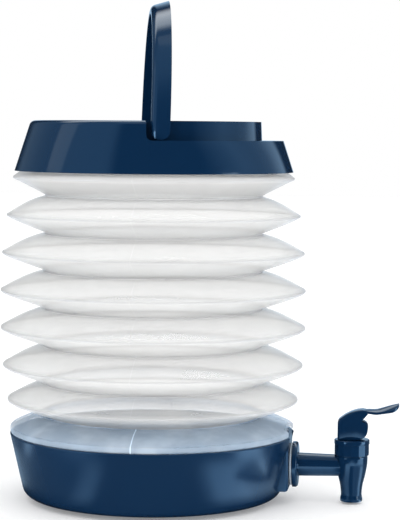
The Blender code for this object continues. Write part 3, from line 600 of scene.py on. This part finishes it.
# one pleat from the valley above it to the valley below it
def pleatCurve(top, pitch, ridge):
    foot = reservoir["valley"] + pleat["valleyLip"]
    band = reservoir["band"]
    lip = pleat["lip"]
    half = pleat["lipHalf"]
    ridgeHeight = top - pleat["ridgeShare"] * pitch
    start = (foot, top - band)
    shelf = (ridge - pleat["shelfIn"], ridgeHeight + pleat["shelfUp"])
    arc = smoothArc((ridge - lip, ridgeHeight + half), lip, 60.0, 0.0, 3)
    arc += smoothArc((ridge - lip, ridgeHeight - half), lip, 0.0, -55.0, 3)
    fold = (ridge - pleat["fold"], ridgeHeight - pleat["fold"])
    end = (foot, top - pitch + band)
    upper = flank(start, shelf, pleat["upperPower"], 14)
    lower = flank(fold, end, pleat["lowerPower"], 10)
    return [(reservoir["valley"], top), start] + upper + [shelf] + arc + [fold] + lower + [end]


def makeBellows():
    valley = reservoir["valley"]
    bottom = reservoir["bottom"]
    outline = []
    top = bellowsTop
    rings = [(valley, top)]
    for number, share in enumerate(reservoir["ridgeShares"]):
        pitch = reservoir["lowPitch" if number == lastPleat else "pitch"]
        ridge = reservoir["ridge"] * share
        outline += pleatCurve(top, pitch, ridge)
        rings.append((ridge, top - pleat["ridgeShare"] * pitch))
        top -= pitch
        rings.append((valley, top))
    outline[0] = (valley, bellowsTop - reservoir["endGap"])
    outline.append((valley, bottom + reservoir["endGap"]))
    bellows = newObject("bellowsWall", spun(outline))
    wall = bellows.modifiers.new("wall", "SOLIDIFY")
    wall.thickness = reservoir["wall"]
    wall.offset = -1.0
    settle(bellows)
    # the marks at the ridges and valleys carry the painted shade of the folds
    markNearRings(bellows, rings, reservoir["foldReach"])
    finishPiece(bellows, milkyWall, "milky_plastic", "base", "bellows", sharp=50.0)
    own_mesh(bellows)


# places on the neck are (radius, rise above the highest valley)
neck = {
    "ridge": 0.0969,
    "ridgeRise": 0.0124,
    "ridgeEdge": 0.0012,
    "mouth": 0.0823,
    "wall": 0.0018,
    "top": 0.0311,
    "rim": 0.0003,
    "power": 0.95,
    "below": (0.0010, 0.0011),
    "step": (0.0940, 0.0150),
    "shoulder": ((0.0926, 0.0160), (0.0905, 0.0167), (0.0850, 0.0172), (0.0823, 0.0180), (0.0823, 0.0195)),
    "inShoulder": 0.0156,
    "inStep": (0.0908, 0.0142),
    "inFoot": 0.0015,
}


def makeNeck():
    valley = reservoir["valley"]
    gap = reservoir["endGap"]
    wall = neck["wall"]
    mouth = neck["mouth"]
    edge = neck["ridgeEdge"]
    ridgeHeight = bellowsTop + neck["ridgeRise"]
    topHeight = bellowsTop + neck["top"]
    below = (neck["ridge"] - neck["below"][0], ridgeHeight - neck["below"][1])
    start = (valley, bellowsTop + reservoir["band"])
    outside = [(valley, bellowsTop + gap), start] + flank(start, below, neck["power"], 10)
    outside += smoothArc((neck["ridge"] - edge, ridgeHeight), edge, -55.0, 30.0, 6)
    outside += lifted([neck["step"]], bellowsTop) + flowing(lifted(neck["shoulder"], bellowsTop), 3)
    outside += [(mouth, topHeight - neck["rim"]), (mouth - neck["rim"], topHeight)]
    inside = [(mouth - wall, topHeight), (mouth - wall, bellowsTop + neck["inShoulder"])]
    inside += lifted([neck["inStep"]], bellowsTop) + [(neck["ridge"] - 2 * wall, ridgeHeight)]
    inside += [(valley - reservoir["wall"], bellowsTop + neck["inFoot"]),
               (valley - reservoir["wall"], bellowsTop + gap)]
    piece = newObject("reservoirNeck", spun(outside + inside, ring=True))
    # the marks at the neck's ridge and valley carry painted shade
    markNearRings(piece, [(neck["ridge"], ridgeHeight), (valley, bellowsTop)], reservoir["foldReach"])
    return piece


thread = {
    "rise": 0.0215,
    "profile": ((-0.0004, -0.0012), (0.0010, -0.0004), (0.0010, 0.0004), (-0.0004, 0.0012)),
    "turns": 1.25,
    "lead": 0.0060,
    "steps": 96,
}


# a lead-in thread round the mouth, spun with a rise
def addThread(thing):
    bm = bmesh.new()
    low = bellowsTop + thread["rise"]
    dots = [bm.verts.new((neck["mouth"] + out, 0.0, low + rise)) for out, rise in thread["profile"]]
    face = bm.faces.new(dots)
    steps = thread["steps"]
    bmesh.ops.spin(bm, geom=[face], cent=(0, 0, 0), axis=(0, 0, 1), dvec=(0, 0, thread["lead"] / steps),
                   angle=2 * math.pi * thread["turns"], steps=int(steps * thread["turns"]),
                   use_duplicate=False)
    faceOutward(bm)
    bm.from_mesh(thing.data)
    bm.to_mesh(thing.data)
    bm.free()


makePan()
makeBellows()
neckPiece = makeNeck()
addThread(neckPiece)
finishPiece(neckPiece, milkyWall, "milky_plastic", "neck", "reservoir_neck", sharp=50.0)
print("reservoir made")


lid = {
    "bottom": bellowsTop + 0.0168,
    "height": 0.0343,
    "radius": 0.0959,
    "slope": 18.0,
    "edge": 0.0042,
    "brokenEdge": 0.0005,
    "wall": 0.0022,
    "ledgeDrop": 0.0128,
    "ring": 0.0738,
    "ringFoot": 0.0005,
    "ringDraft": 0.0006,
    "recessEnd": -0.0092,
    "recessCorner": 0.0036,
    "recessReach": 0.110,
    "stud": 0.0035,
    "studReach": 0.078,
    "steps": 160,
}
lidTop = lid["bottom"] + lid["height"]
ledge = lidTop - lid["ledgeDrop"]
pivotHeight = ledge + lid["ledgeDrop"] / 2


def lidRadius(height, inset=0.0):
    slant = math.radians(lid["slope"])
    return lid["radius"] - (height - lid["bottom"]) * math.tan(slant) - inset / math.cos(slant)


def recessShape(grow):
    left = lid["recessEnd"] - grow
    low = ledge - grow
    corner = lid["recessCorner"]
    reach = lid["recessReach"]
    outline = [(left, lidTop + overrun)]
    outline += smoothArc((left + corner, low + corner), corner, 180.0, 270.0, 8)
    outline += [(reach, low), (reach, lidTop + overrun)]
    shape = newObject("recessShape", pulled(outline, -reach, reach))
    ring = lid["ring"] - grow
    high = lidTop + 2 * overrun
    carve(shape, spun([(0, low - overrun), (ring + lid["ringFoot"], low - overrun),
                       (ring - lid["ringDraft"], high), (0, high)]))
    return shape


def makeLidCover():
    edge = lid["edge"]
    wall = lid["wall"]
    slope = lid["slope"]
    steps = lid["steps"]
    middle = (lidRadius(lidTop - edge, edge), lidTop - edge)
    outside = [(0, lid["bottom"]), (lid["radius"], lid["bottom"])]
    outside += smoothArc(middle, edge, slope, 90.0, 10) + [(0, lidTop)]
    cover = newObject("lidCover", spun(outside, steps))
    carve(cover, recessShape(0.0))
    low = lid["bottom"] - overrun
    inside = [(0, low), (lidRadius(low, wall), low)] + smoothArc(middle, edge - wall, slope, 90.0, 4)
    hollow = newObject("lidHollow", spun(inside + [(0, lidTop - wall)], steps))
    carve(hollow, recessShape(wall))
    carve(cover, hollow)
    socket = rod(lid["stud"], -lid["studReach"], lid["studReach"], 40)
    carve(cover, along(socket, (0, 1, 0), (0, 0, pivotHeight)))
    tidyMesh(cover)
    soften(cover, lid["brokenEdge"], 2, 40.0)
    turnWithLid(cover)
    finishPiece(cover, navyGloss, "navy_plastic", "lid", "lid_cover")


# points of (radius, rise), counted from the plate's underside, the skirt's foot and the plate's top
liner = {
    "plate": 0.0021,
    "depth": 0.0165,
    "inside": ((0, 0), (0.0837, 0), (0.0840, -0.0003)),
    "skirtFoot": ((0.0840, 0.0004), (0.0844, 0), (0.0858, 0), (0.0862, 0.0004)),
    "outside": ((0.0862, -0.0003), (0.0865, 0), (0.0868, 0)),
    "rim": ((0.0868, -0.0003), (0.0865, 0), (0, 0)),
}


def makeLidLiner():
    top = ledge - lid["wall"] - play
    under = top - liner["plate"]
    outline = lifted(liner["inside"], under) + lifted(liner["skirtFoot"], top - liner["depth"])
    outline += lifted(liner["outside"], under) + lifted(liner["rim"], top)
    piece = newObject("lidLiner", spun(outline))
    finishPiece(piece, navySatin, "navy_plastic", "lid", "lid_liner")


makeLidCover()
makeLidLiner()
print("lid made")


bail = {
    "lean": 1.8,
    "inside": 0.0796,
    "half": lid["ledgeDrop"] / 2 - play,
    "edge": 0.0007,
    "steps": 72,
    "sides": 20,
    "studReach": 0.0042,
    "studTip": 0.0029,
    "stud": 0.0032,
    "studEdge": 0.0003,
    "collar": 0.0048,
    "studRoot": 0.002,
}


# folded down, the strap goes on with the lid's cone and its rounded top edge
def strapRadius(across):
    half = bail["half"]
    slant = math.radians(lid["slope"])
    middle = -half + lid["edge"]
    line = lidRadius(pivotHeight)
    if across > middle - lid["edge"] * math.sin(slant):
        return line + math.tan(slant) * across
    centre = line + math.tan(slant) * middle - lid["edge"] / math.cos(slant)
    return centre + math.sqrt(max(lid["edge"] ** 2 - (across - middle) ** 2, 0.0))


def makeBail():
    half = bail["half"]
    sides = bail["sides"]
    across = [-half * math.cos(math.pi * step / sides) for step in range(sides + 1)]
    bm = bmesh.new()
    inner = [bm.verts.new((side, -bail["inside"], 0.0)) for side in across]
    outer = [bm.verts.new((side, -strapRadius(side), 0.0)) for side in across]
    strip = [bm.faces.new((inner[step], inner[step + 1], outer[step + 1], outer[step]))
             for step in range(sides)]
    bmesh.ops.spin(bm, geom=strip, cent=(0, 0, 0), axis=(1, 0, 0), angle=-math.pi,
                   steps=bail["steps"], use_duplicate=False)
    ends = [vert for vert in bm.verts if abs(vert.co.z) < hair]
    for vert in ends:
        vert.co.z -= math.sqrt(max(half ** 2 - vert.co.x ** 2, 0.0))
    faceOutward(bm)
    handle = newObject("bailHandle", bm)
    soften(handle, bail["edge"], 3, 50.0)
    tip = lid["ring"] - bail["studReach"]
    collar = lid["ring"] + play
    root = bail["inside"] + bail["studRoot"]
    stud = [(0, tip), (bail["studTip"], tip), (bail["stud"], tip + bail["studEdge"]),
            (bail["stud"], collar), (bail["collar"], collar), (bail["collar"], root), (0, root)]
    for side in (-1, 1):
        carve(handle, along(spun(stud, 40), (0, side, 0)), "UNION")
    handle.data.transform(Matrix.Rotation(math.radians(bail["lean"]), 4, "Y"))
    handle.data.transform(Matrix.Translation((0, 0, pivotHeight)))
    turnWithLid(handle)
    finishPiece(handle, navyGloss, "navy_plastic", "bail", "handle", sharp=50.0)


makeBail()
print("handle made")


tap = {
    "reach": 0.1384,
    "height": dish["shankHeight"],
    "spout": 0.0012,
    # points of (radius, rise above the spout's mouth)
    "lip": ((0, 0), (0.0069, 0), (0.0074, 0.0003), (0.0076, 0.0008), (0.0076, 0.0026),
            (0.0074, 0.0030), (0.0073, 0.0034), (0.0073, 0.0040), (0.0071, 0.0043)),
    "swell": ((0.0071, 0.0060), (0.0072, 0.0085), (0.0078, 0.0130), (0.0092, 0.0188),
              (0.0102, 0.0238), (0.0108, 0.0280), (0.0109, 0.0319)),
    "bodyTop": 0.0332,
    "shoulder": 0.0107,
    "collar": 0.0101,
    "collarTop": 0.0394,
    "bonnetTop": 0.0442,
    "flangeBack": 0.0980,
    "flangeFace": 0.1017,
    "flange": 0.0157,
    "flangeRound": 0.0018,
    "shankEnd": 0.0805,
    "shank": 0.0078,
    # points of (radius, way from the shank's end) and (radius, way from the flange's face)
    "shankTip": ((0, 0), (0.0074, 0), (0.0078, 0.0004)),
    "pipe": ((0.0084, 0), (0.0080, 0.0004)),
    "pipeEnd": 0.0072,
    "water": ((0, -0.003), (0.0054, -0.003), (0.0054, 0.0152), (0.0042, 0.0152), (0.0042, 0.0172),
              (0.0070, 0.0172), (0.0082, 0.0232), (0.0082, 0.045), (0, 0.045)),
    "inlet": 0.0046,
    "inletStart": 0.075,
}


def makeTapBody():
    reach = tap["reach"]
    outline = lifted(tap["lip"], tap["spout"]) + flowing(tap["swell"], 5)
    outline += [(tap["shoulder"], tap["bodyTop"]), (tap["collar"], tap["bodyTop"]),
                (tap["collar"], tap["collarTop"]), (0, tap["collarTop"])]
    body = newObject("tapBody", along(spun(outline, 72), (0, 0, 1), (reach, 0, 0)))
    soft = tap["flangeRound"]
    shank = lifted(tap["shankTip"], tap["shankEnd"])
    shank += [(tap["shank"], tap["flangeBack"]), (tap["flange"], tap["flangeBack"])]
    shank += smoothArc((tap["flange"] - soft, tap["flangeFace"] - soft), soft, 0.0, 90.0, 8)
    shank += lifted(tap["pipe"], tap["flangeFace"]) + [(tap["pipeEnd"], reach), (0, reach)]
    carve(body, along(spun(shank, 72), (1, 0, 0), (0, 0, tap["height"])), "UNION")
    channel = newObject("waterWay", along(spun(tap["water"], 48), (0, 0, 1), (reach, 0, 0)))
    inlet = rod(tap["inlet"], tap["inletStart"], reach, 48)
    carve(channel, along(inlet, (1, 0, 0), (0, 0, tap["height"])), "UNION")
    carve(body, channel)
    tidyMesh(body)
    finishPiece(body, navyGloss, "navy_plastic", "base", "tap_body")


washer = {
    "start": 0.0965,
    "thickness": 0.0012,
    "radius": 0.0146,
    "edge": 0.0003,
}


def makeWasher():
    hole = dish["shankHole"]
    edge = washer["edge"]
    radius = washer["radius"]
    thickness = washer["thickness"]
    outline = [(hole, 0), (radius - edge, 0), (radius, edge), (radius, thickness - edge),
               (radius - edge, thickness), (hole, thickness)]
    place = (washer["start"], 0, tap["height"])
    piece = newObject("flangeWasher", along(spun(outline, 64, ring=True), (1, 0, 0), place))
    finishPiece(piece, siliconeRubber, "silicone", "base", "outer_washer")


bonnet = {
    "band": 0.0031,
    "bandFoot": ((0, 0), (0.0119, 0), (0.0121, 0.0002)),
    "edge": 0.0006,
    "edgeMiddle": 0.0115,
    "grip": 0.0120,
    "gripRise": 0.0004,
    "gripEdge": 0.0003,
    "flats": 14,
    "inside": 0.0104,
    "roof": 0.0018,
    "hole": 0.0041,
}


def makeBonnet():
    top = tap["bonnetTop"]
    bandLow = top - bonnet["band"]
    gripTop = bandLow + bonnet["gripRise"]
    low = tap["bodyTop"] + play
    edge = smoothArc((bonnet["edgeMiddle"], top - bonnet["edge"]), bonnet["edge"], 0.0, 90.0, 4)
    piece = newObject("tapBonnet", spun(lifted(bonnet["bandFoot"], bandLow) + edge + [(0, top)], 72))
    flats = bonnet["flats"]
    grip = newObject("gripFlats", rod(bonnet["grip"], low, gripTop, flats))
    grip.data.transform(Matrix.Rotation(math.pi / flats, 4, "Z"))
    soften(grip, bonnet["gripEdge"], 2, 20.0)
    carve(piece, grip, "UNION")
    inside = bonnet["inside"]
    hole = bonnet["hole"]
    roof = top - bonnet["roof"]
    carve(piece, spun([(0, low - overrun), (inside, low - overrun), (inside, roof), (hole, roof),
                       (hole, top + overrun), (0, top + overrun)], 64))
    piece.data.transform(Matrix.Translation((tap["reach"], 0, 0)))
    tidyMesh(piece)
    finishPiece(piece, navyGloss, "navy_plastic", "base", "tap_bonnet", sharp=16.0)


# the silicone cup hangs in the tap's chamber; it is made at rest, though its sleeve gives as the stem lifts
cup = {
    "bottom": 0.0175,
    "floor": 0.0010,
    "nose": 0.0055,
    "noseEdge": 0.0004,
    "noseTop": 0.0195,
    "pocket": 0.0033,
    "pocketTop": 0.0223,
    "shoulder": 0.0047,
    "sleeve": 0.0037,
    "sleeveRise": 0.0014,
    "bore": 0.0023,
    "flareStart": 0.0357,
    "flareBend": ((0.0, -0.0010), (0.0004, 0.0006)),
    "flare": 0.0068,
    "flareWall": 0.0014,
    "rim": 0.0099,
    "rimLow": 0.0397,
    "rimTop": 0.0403,
    "throw": 0.00214,
}


def makeCup():
    nose = cup["nose"]
    edge = cup["noseEdge"]
    bottom = cup["bottom"]
    floor = bottom + cup["floor"]
    outside = [(0, bottom), (nose - edge, bottom), (nose, bottom + edge), (nose, cup["noseTop"])]
    outside += [(cup["shoulder"], cup["pocketTop"]), (cup["sleeve"], cup["pocketTop"] + cup["sleeveRise"])]
    bend = [(cup["sleeve"] + out, cup["flareStart"] + rise) for out, rise in cup["flareBend"]]
    outside += flowing(bend + [(cup["flare"], cup["rimLow"])], 4)
    outside += [(cup["rim"], cup["rimLow"]), (cup["rim"], cup["rimTop"])]
    inside = [(cup["flare"] - cup["flareWall"], cup["rimTop"]),
              (cup["bore"], cup["flareStart"] + cup["flareWall"]), (cup["bore"], cup["pocketTop"]),
              (cup["pocket"], cup["pocketTop"]), (cup["pocket"], floor), (0, floor)]
    piece = newObject("seatCup", along(spun(outside + inside, 48), (0, 0, 1), (tap["reach"], 0, 0)))
    finishPiece(piece, siliconeRubber, "silicone", "base", "seat_cup")
    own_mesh(piece)


makeTapBody()
makeCup()
makeWasher()
makeBonnet()
print("tap made")


# the lever's outline is counted from its pin
lever = {
    "pinHeight": 0.0517,
    "sole": 0.0072,
    "lift": 0.0035,
    "throw": 35.0,
    "heel": 0.0060,
    "halfWidth": 0.0058,
    "heelTop": ((0.0109, 0.0012), (0.0104, 0.0030), (0.0090, 0.0046), (0.0066, 0.0057)),
    "toe": (0.0108, 0.0106),
    "back": ((0.0068, 0.0136), (0.0036, 0.0131), (0.0000, 0.0120), (-0.0038, 0.0102), (-0.0070, 0.0080)),
    "corner": ((-0.0086, 0.0068), (-0.0096, 0.0054), (-0.0098, 0.0036)),
    "round": 0.0017,
    "brokenEdge": 0.0004,
    "inArm": 0.0009,
    "slot": ((-0.0042, -0.0024, -0.012), (0.016, 0.0024, 0.0042)),
    "pinHole": 0.0014,
    "pinHoleHalf": 0.00555,
    "camSteps": 12,
}


def heelCurve():
    cam = []
    steps = lever["camSteps"]
    for step in range(steps + 1):
        turn = math.radians(lever["throw"] * step / steps)
        height = lever["sole"] + lever["lift"] * turn
        cam.append((height * math.sin(turn) + lever["lift"] * math.cos(turn),
                    -height * math.cos(turn) + lever["lift"] * math.sin(turn)))
    turn = math.radians(lever["throw"])
    centre = (cam[-1][0] - lever["heel"] * math.sin(turn), cam[-1][1] + lever["heel"] * math.cos(turn))
    return cam + smoothArc(centre, lever["heel"], lever["throw"] - 90.0, 0.0, 8)[1:]


# shares of the arm's length say where its wings stop widening and drooping, and where its tip starts
arm = {
    "line": ((0.0050, 0.0130), (0.0105, 0.0136), (0.0165, 0.0138), (0.0212, 0.0151),
             (0.0270, 0.0169), (0.0320, 0.0181)),
    "thick": 0.0017,
    "half": 0.0046,
    "widening": 0.0020,
    "wideShare": 0.75,
    "leastDroop": 0.0006,
    "droop": 0.0030,
    "droopPower": 1.5,
    "tipStart": 0.8,
    "tipShare": 0.2,
    "tipTaper": 0.96,
    "tipLevel": 0.75,
    "sides": 14,
    "edge": 0.0005,
}


# a thumb plate whose wings droop, more so towards its tip
def makeArm():
    line = flowing(arm["line"], 5)
    reach = line[-1][0] - line[0][0]
    least = arm["leastDroop"]
    start = arm["tipStart"]
    shares = [-math.cos(math.pi * index / arm["sides"]) for index in range(arm["sides"] + 1)]
    bm = bmesh.new()
    rings = []
    for x, z in line:
        t = (x - line[0][0]) / reach
        half = arm["half"] + arm["widening"] * math.sin(math.pi / 2 * min(t / arm["wideShare"], 1.0))
        droop = least + (arm["droop"] - least) * min(t / start, 1.0) ** arm["droopPower"]
        if t > start:
            end = (t - start) / arm["tipShare"]
            half *= math.sqrt(1.0 - arm["tipTaper"] * end ** 2)
            droop *= 1.0 - arm["tipLevel"] * end ** 3
        top = [(x, share * half, z - droop * share ** 2) for share in shares]
        under = [(x, side, height - arm["thick"]) for x, side, height in reversed(top)]
        rings.append([bm.verts.new(point) for point in top + under])
    loops = []
    for ring in rings:
        loops.append([bm.edges.new(pair) for pair in zip(ring, ring[1:] + ring[:1])])
    for near, far in zip(loops, loops[1:]):
        bmesh.ops.bridge_loops(bm, edges=near + far)
    bmesh.ops.holes_fill(bm, edges=loops[0] + loops[-1])
    faceOutward(bm)
    plate = newObject("leverArm", bm)
    soften(plate, arm["edge"], 3, 50.0)
    return plate


def makeLever():
    half = lever["halfWidth"]
    armTop = min(flowing(arm["line"], 5), key=lambda spot: abs(spot[0] - lever["toe"][0]))
    heel = heelCurve()
    heelTop = flowing([heel[-1]] + list(lever["heelTop"]), 4)[1:]
    back = flowing(lever["back"] + lever["corner"], 3)
    sole = (back[-1][0], -lever["sole"])
    inArm = (armTop[0], armTop[1] - lever["inArm"])
    shape = pulled([sole] + heel + heelTop + [lever["toe"], inArm] + back, -half, half)
    # the back is rounded over, and the sole and the heel only have their edges broken
    contour = [Vector(spot) for spot in back + [sole]]

    def onContour(vert):
        return min((Vector((vert.co.x, vert.co.z)) - spot).length for spot in contour) < hair

    rounded = [edge for edge in shape.edges
               if abs(edge.verts[0].co.y - edge.verts[1].co.y) < hair and all(map(onContour, edge.verts))]
    bmesh.ops.bevel(shape, geom=rounded, offset=lever["round"], offset_type="OFFSET", segments=6,
                    profile=0.5, affect="EDGES", material=-1)
    piece = newObject("tapLever", shape)
    soften(piece, lever["brokenEdge"], 3, 40.0)
    carve(piece, makeArm(), "UNION")
    carve(piece, boxShape(*lever["slot"]))
    reach = lever["pinHoleHalf"]
    carve(piece, along(rod(lever["pinHole"], -reach, reach, 32), (0, 1, 0)))
    piece.data.transform(Matrix.Translation((tap["reach"], 0, lever["pinHeight"])))
    tidyMesh(piece)
    finishPiece(piece, navyGloss, "navy_plastic", "lever", "tap_lever", sharp=40.0)


makeLever()
print("lever made")


nodeFinish = {
    "lid_gasket": siliconeRubber,
    "inner_washer": siliconeRubber,
    "shank_nut": navySatin,
    "valve_stem": navySatin,
    "lever_pin": pinSteel,
}
for node, material in nodeFinish.items():
    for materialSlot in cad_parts[node].material_slots:
        materialSlot.material = material


# the lists hold (angle from the camera's side, strength), with the angle positive towards the tap
studio = {
    "floor": 0.80,
    "floorSize": 6.0,
    "floorDrop": 0.0002,
    "floorRoughness": 0.9,
    "floorGlow": 0.20,
    "floorBounce": 0.80,
    "white": (1.0, 1.0, 1.0),
    "tint": (0.50, 0.74, 1.0),
    # the card above and behind: its strength, and where it starts by height and by depth
    "backTop": 3.4,
    "cardHeight": (0.60, 0.78),
    "cardDepth": (0.20, 0.38),
    # what diffuse light comes from: dimmer at the sides, which keeps it off the milky edges
    "ambient": ((-180, 1.40), (-140, 1.30), (-112, 0.80), (-68, 0.80), (-42, 1.60), (0, 1.70),
                (42, 1.60), (68, 0.85), (112, 0.80), (140, 1.30), (180, 1.40)),
    # what gloss sees above the floor
    "roundAbout": ((-180, 1.0), (-174, 1.0), (-168, 0.0), (-152, 0.08), (-141, 0.35), (-125, 0.45),
                   (-100, 0.5), (-70, 0.85), (-43, 0.85), (-38, 0.75), (-30, 0.03), (44, 0.02),
                   (60, 0.6), (81, 1.2), (100, 0.85), (115, 0.85), (126, 1.3), (136, 1.4),
                   (143, 0.05), (166, 0.03), (173, 1.0), (180, 1.0)),
    # what gloss sees on the floor: close to the object, further off, far enough for the lever alone
    "nearFloor": ((-180, 0.8), (-98, 0.55), (-84, 0.35), (-68, 0.25), (-46, 0.25), (-37, 1.5),
                  (-33, 1.5), (-27, 0.03), (26, 0.03), (32, 0.8), (38, 2.6), (56, 3.1), (66, 1.8),
                  (80, 1.0), (89, 0.8), (97, 0.2), (150, 0.6), (180, 0.8)),
    "farFloor": ((-180, 0.8), (-106, 0.2), (-103, 2.6), (-96, 2.6), (-93, 0.2), (-60, 0.3),
                 (-48, 0.7), (-38, 0.03), (56, 0.03), (64, 4.5), (80, 4.5), (86, 0.25),
                 (120, 0.30), (160, 0.8), (180, 0.8)),
    "outerFloor": ((-180, 0.8), (-110, 0.1), (-76, 0.1), (-66, 10.0), (-44, 10.0), (-37, 0.03),
                   (60, 0.03), (68, 7.0), (84, 7.0), (90, 0.3), (180, 0.8)),
    # as seen from the tap
    "tapFloor": ((-180, 0.5), (-100, 0.2), (-80, 0.25), (-60, 0.5), (-40, 0.5), (-30, 0.05),
                 (0, 0.05), (14, 0.8), (40, 0.7), (58, 1.2), (64, 4.0), (80, 4.0), (88, 1.5),
                 (96, 0.3), (180, 0.5)),
    # where the floor's zones blend, by distance from the tap or the object, and by x beside the tap
    "besideTap": (0.124, 0.131),
    "tapZone": (0.070, 0.085),
    "farZone": (0.19, 0.26),
    "outerZone": (0.50, 0.57),
    # right under the object the floor shows gloss a painted shadow: a dark colour where the object's shade
    # would fall
    "paintedShadowZone": (0.096, 0.116),
    "paintedFloorShadow": (0.012, 0.016, 0.02, 1.0),
    # name, angle from the front towards the tap, elevation, width, height, watts
    "softboxes": (("rightSoftbox", 72.0, 4.0, 0.5, 0.5, 3.0),
                  ("leftSoftbox", -80.0, 25.0, 0.6, 1.2, 1.5),
                  ("topSoftbox", 20.0, 78.0, 1.5, 1.5, 4.0)),
    "softboxDistance": 2.0,
    "softboxAim": (0, 0, 0.15),
}


# a ramp over the angle at which a direction or a place lies, as seen from the object
def addRound(tree, place, levels, tint=studio["tint"]):
    yaw = math.radians(shot["yaw"])
    sideways = vectorMath(tree, "DOT_PRODUCT", place, (math.cos(yaw), math.sin(yaw), 0.0))
    nearer = vectorMath(tree, "DOT_PRODUCT", place, (math.sin(yaw), -math.cos(yaw), 0.0))
    angle = compute(tree, "ARCTAN2", sideways, nearer)
    ramp = makeNode(tree, "ShaderNodeValToRGB")
    tree.links.new(compute(tree, "MULTIPLY_ADD", angle, 0.5 / math.pi, 0.5), ramp.inputs["Fac"])
    steps = ramp.color_ramp.elements
    for index, (degrees, value) in enumerate(levels):
        step = steps[index] if index < 2 else steps.new(1.0)
        step.position = degrees / 360.0 + 0.5
        step.color = (*(value * share for share in tint), 1.0)
    return ramp.outputs["Color"]


def makeFloor():
    bm = bmesh.new()
    bmesh.ops.create_grid(bm, x_segments=1, y_segments=1, size=studio["floorSize"])
    bmesh.ops.translate(bm, verts=bm.verts, vec=(0, 0, -studio["floorDrop"]))
    floor = newObject("studioFloor", bm)
    material, tree, shader = newMaterial("paleFloor")
    constants = {"Base Color": (studio["floor"],) * 3 + (1.0,), "Roughness": studio["floorRoughness"],
                 "Emission Color": (*studio["white"], 1.0)}
    for socket, value in constants.items():
        shader.inputs[socket].default_value = value
    # the floor turns white where it is looked at, and keeps its shadow
    path = makeNode(tree, "ShaderNodeLightPath").outputs
    seen = compute(tree, "MAXIMUM", path["Is Camera Ray"], path["Is Glossy Ray"])
    through = compute(tree, "MAXIMUM", seen, path["Is Transmission Ray"])
    glow = compute(tree, "MULTIPLY", through, studio["floorGlow"])
    # a bright card below lights the undersides of the folds
    bounce = compute(tree, "MULTIPLY_ADD", path["Is Diffuse Ray"], studio["floorBounce"], glow)
    tree.links.new(bounce, shader.inputs["Emission Strength"])
    here = makeNode(tree, "ShaderNodeTexCoord").outputs["Object"]
    away = vectorMath(tree, "LENGTH", here)
    fromTap = vectorMath(tree, "SUBTRACT", here, (tap["reach"], 0.0, 0.0), output="Vector")

    def blended(zone, value, span, other):
        return mixed(tree, ranged(tree, value, studio[span]), zone, other)

    near = addRound(tree, here, studio["nearFloor"])
    zone = blended(near, coordinate(tree, here, "X"), "besideTap",
                   addRound(tree, fromTap, studio["tapFloor"]))
    zone = blended(zone, vectorMath(tree, "LENGTH", fromTap), "tapZone", near)
    zone = blended(zone, away, "farZone", addRound(tree, here, studio["farFloor"]))
    zone = blended(zone, away, "outerZone", addRound(tree, here, studio["outerFloor"]))
    # close under the object the floor's sheen is painted dark, a painted shadow
    zone = blended(studio["paintedFloorShadow"], away, "paintedShadowZone", zone)
    sheen = makeNode(tree, "ShaderNodeEmission")
    tree.links.new(zone, sheen.inputs["Color"])
    chosen = makeNode(tree, "ShaderNodeMixShader")
    for source, target in zip((path["Is Glossy Ray"], shader.outputs[0], sheen.outputs[0]), chosen.inputs):
        tree.links.new(source, target)
    tree.links.new(chosen.outputs[0], tree.nodes["Material Output"].inputs["Surface"])
    floor.data.materials.append(material)


def makeWorld():
    world = bpy.data.worlds.new("studioWorld")
    bpy.context.scene.world = world
    world.use_nodes = True
    tree = world.node_tree
    tree.nodes.clear()
    path = makeNode(tree, "ShaderNodeLightPath").outputs
    mirrored = compute(tree, "MAXIMUM", path["Is Glossy Ray"], path["Is Transmission Ray"])
    direction = makeNode(tree, "ShaderNodeTexCoord").outputs["Generated"]
    yaw = math.radians(shot["yaw"])
    behind = vectorMath(tree, "DOT_PRODUCT", direction, (-math.sin(yaw), math.cos(yaw), 0.0))
    # a bright card above and behind the object rims its upper edges
    card = compute(tree, "MULTIPLY", ranged(tree, coordinate(tree, direction, "Z"), studio["cardHeight"]),
                   ranged(tree, behind, studio["cardDepth"]))
    shiny = mixed(tree, card, addRound(tree, direction, studio["roundAbout"]),
                  (studio["backTop"],) * 3 + (1.0,))
    plain = mixed(tree, mirrored, addRound(tree, direction, studio["ambient"], studio["white"]), shiny)
    level = mixed(tree, path["Is Camera Ray"], plain, (*studio["white"], 1.0))
    back = makeNode(tree, "ShaderNodeBackground")
    tree.links.new(level, back.inputs["Color"])
    end = makeNode(tree, "ShaderNodeOutputWorld")
    tree.links.new(back.outputs[0], end.inputs["Surface"])


def addSoftbox(name, azimuth, elevation, width, height, watts):
    data = bpy.data.lights.new(name, "AREA")
    data.shape = "RECTANGLE"
    data.size = width
    data.size_y = height
    data.energy = watts
    light = bpy.data.objects.new(name, data)
    bpy.context.scene.collection.objects.link(light)
    side = math.radians(azimuth)
    rise = math.radians(elevation)
    out = Vector((math.sin(side) * math.cos(rise), -math.cos(side) * math.cos(rise), math.sin(rise)))
    light.location = Vector(studio["softboxAim"]) + out * studio["softboxDistance"]
    light.rotation_euler = (-out).to_track_quat("-Z", "Y").to_euler()


makeFloor()
makeWorld()
for softbox in studio["softboxes"]:
    addSoftbox(*softbox)
bpy.context.scene.view_settings.view_transform = "Standard"
print("studio made")
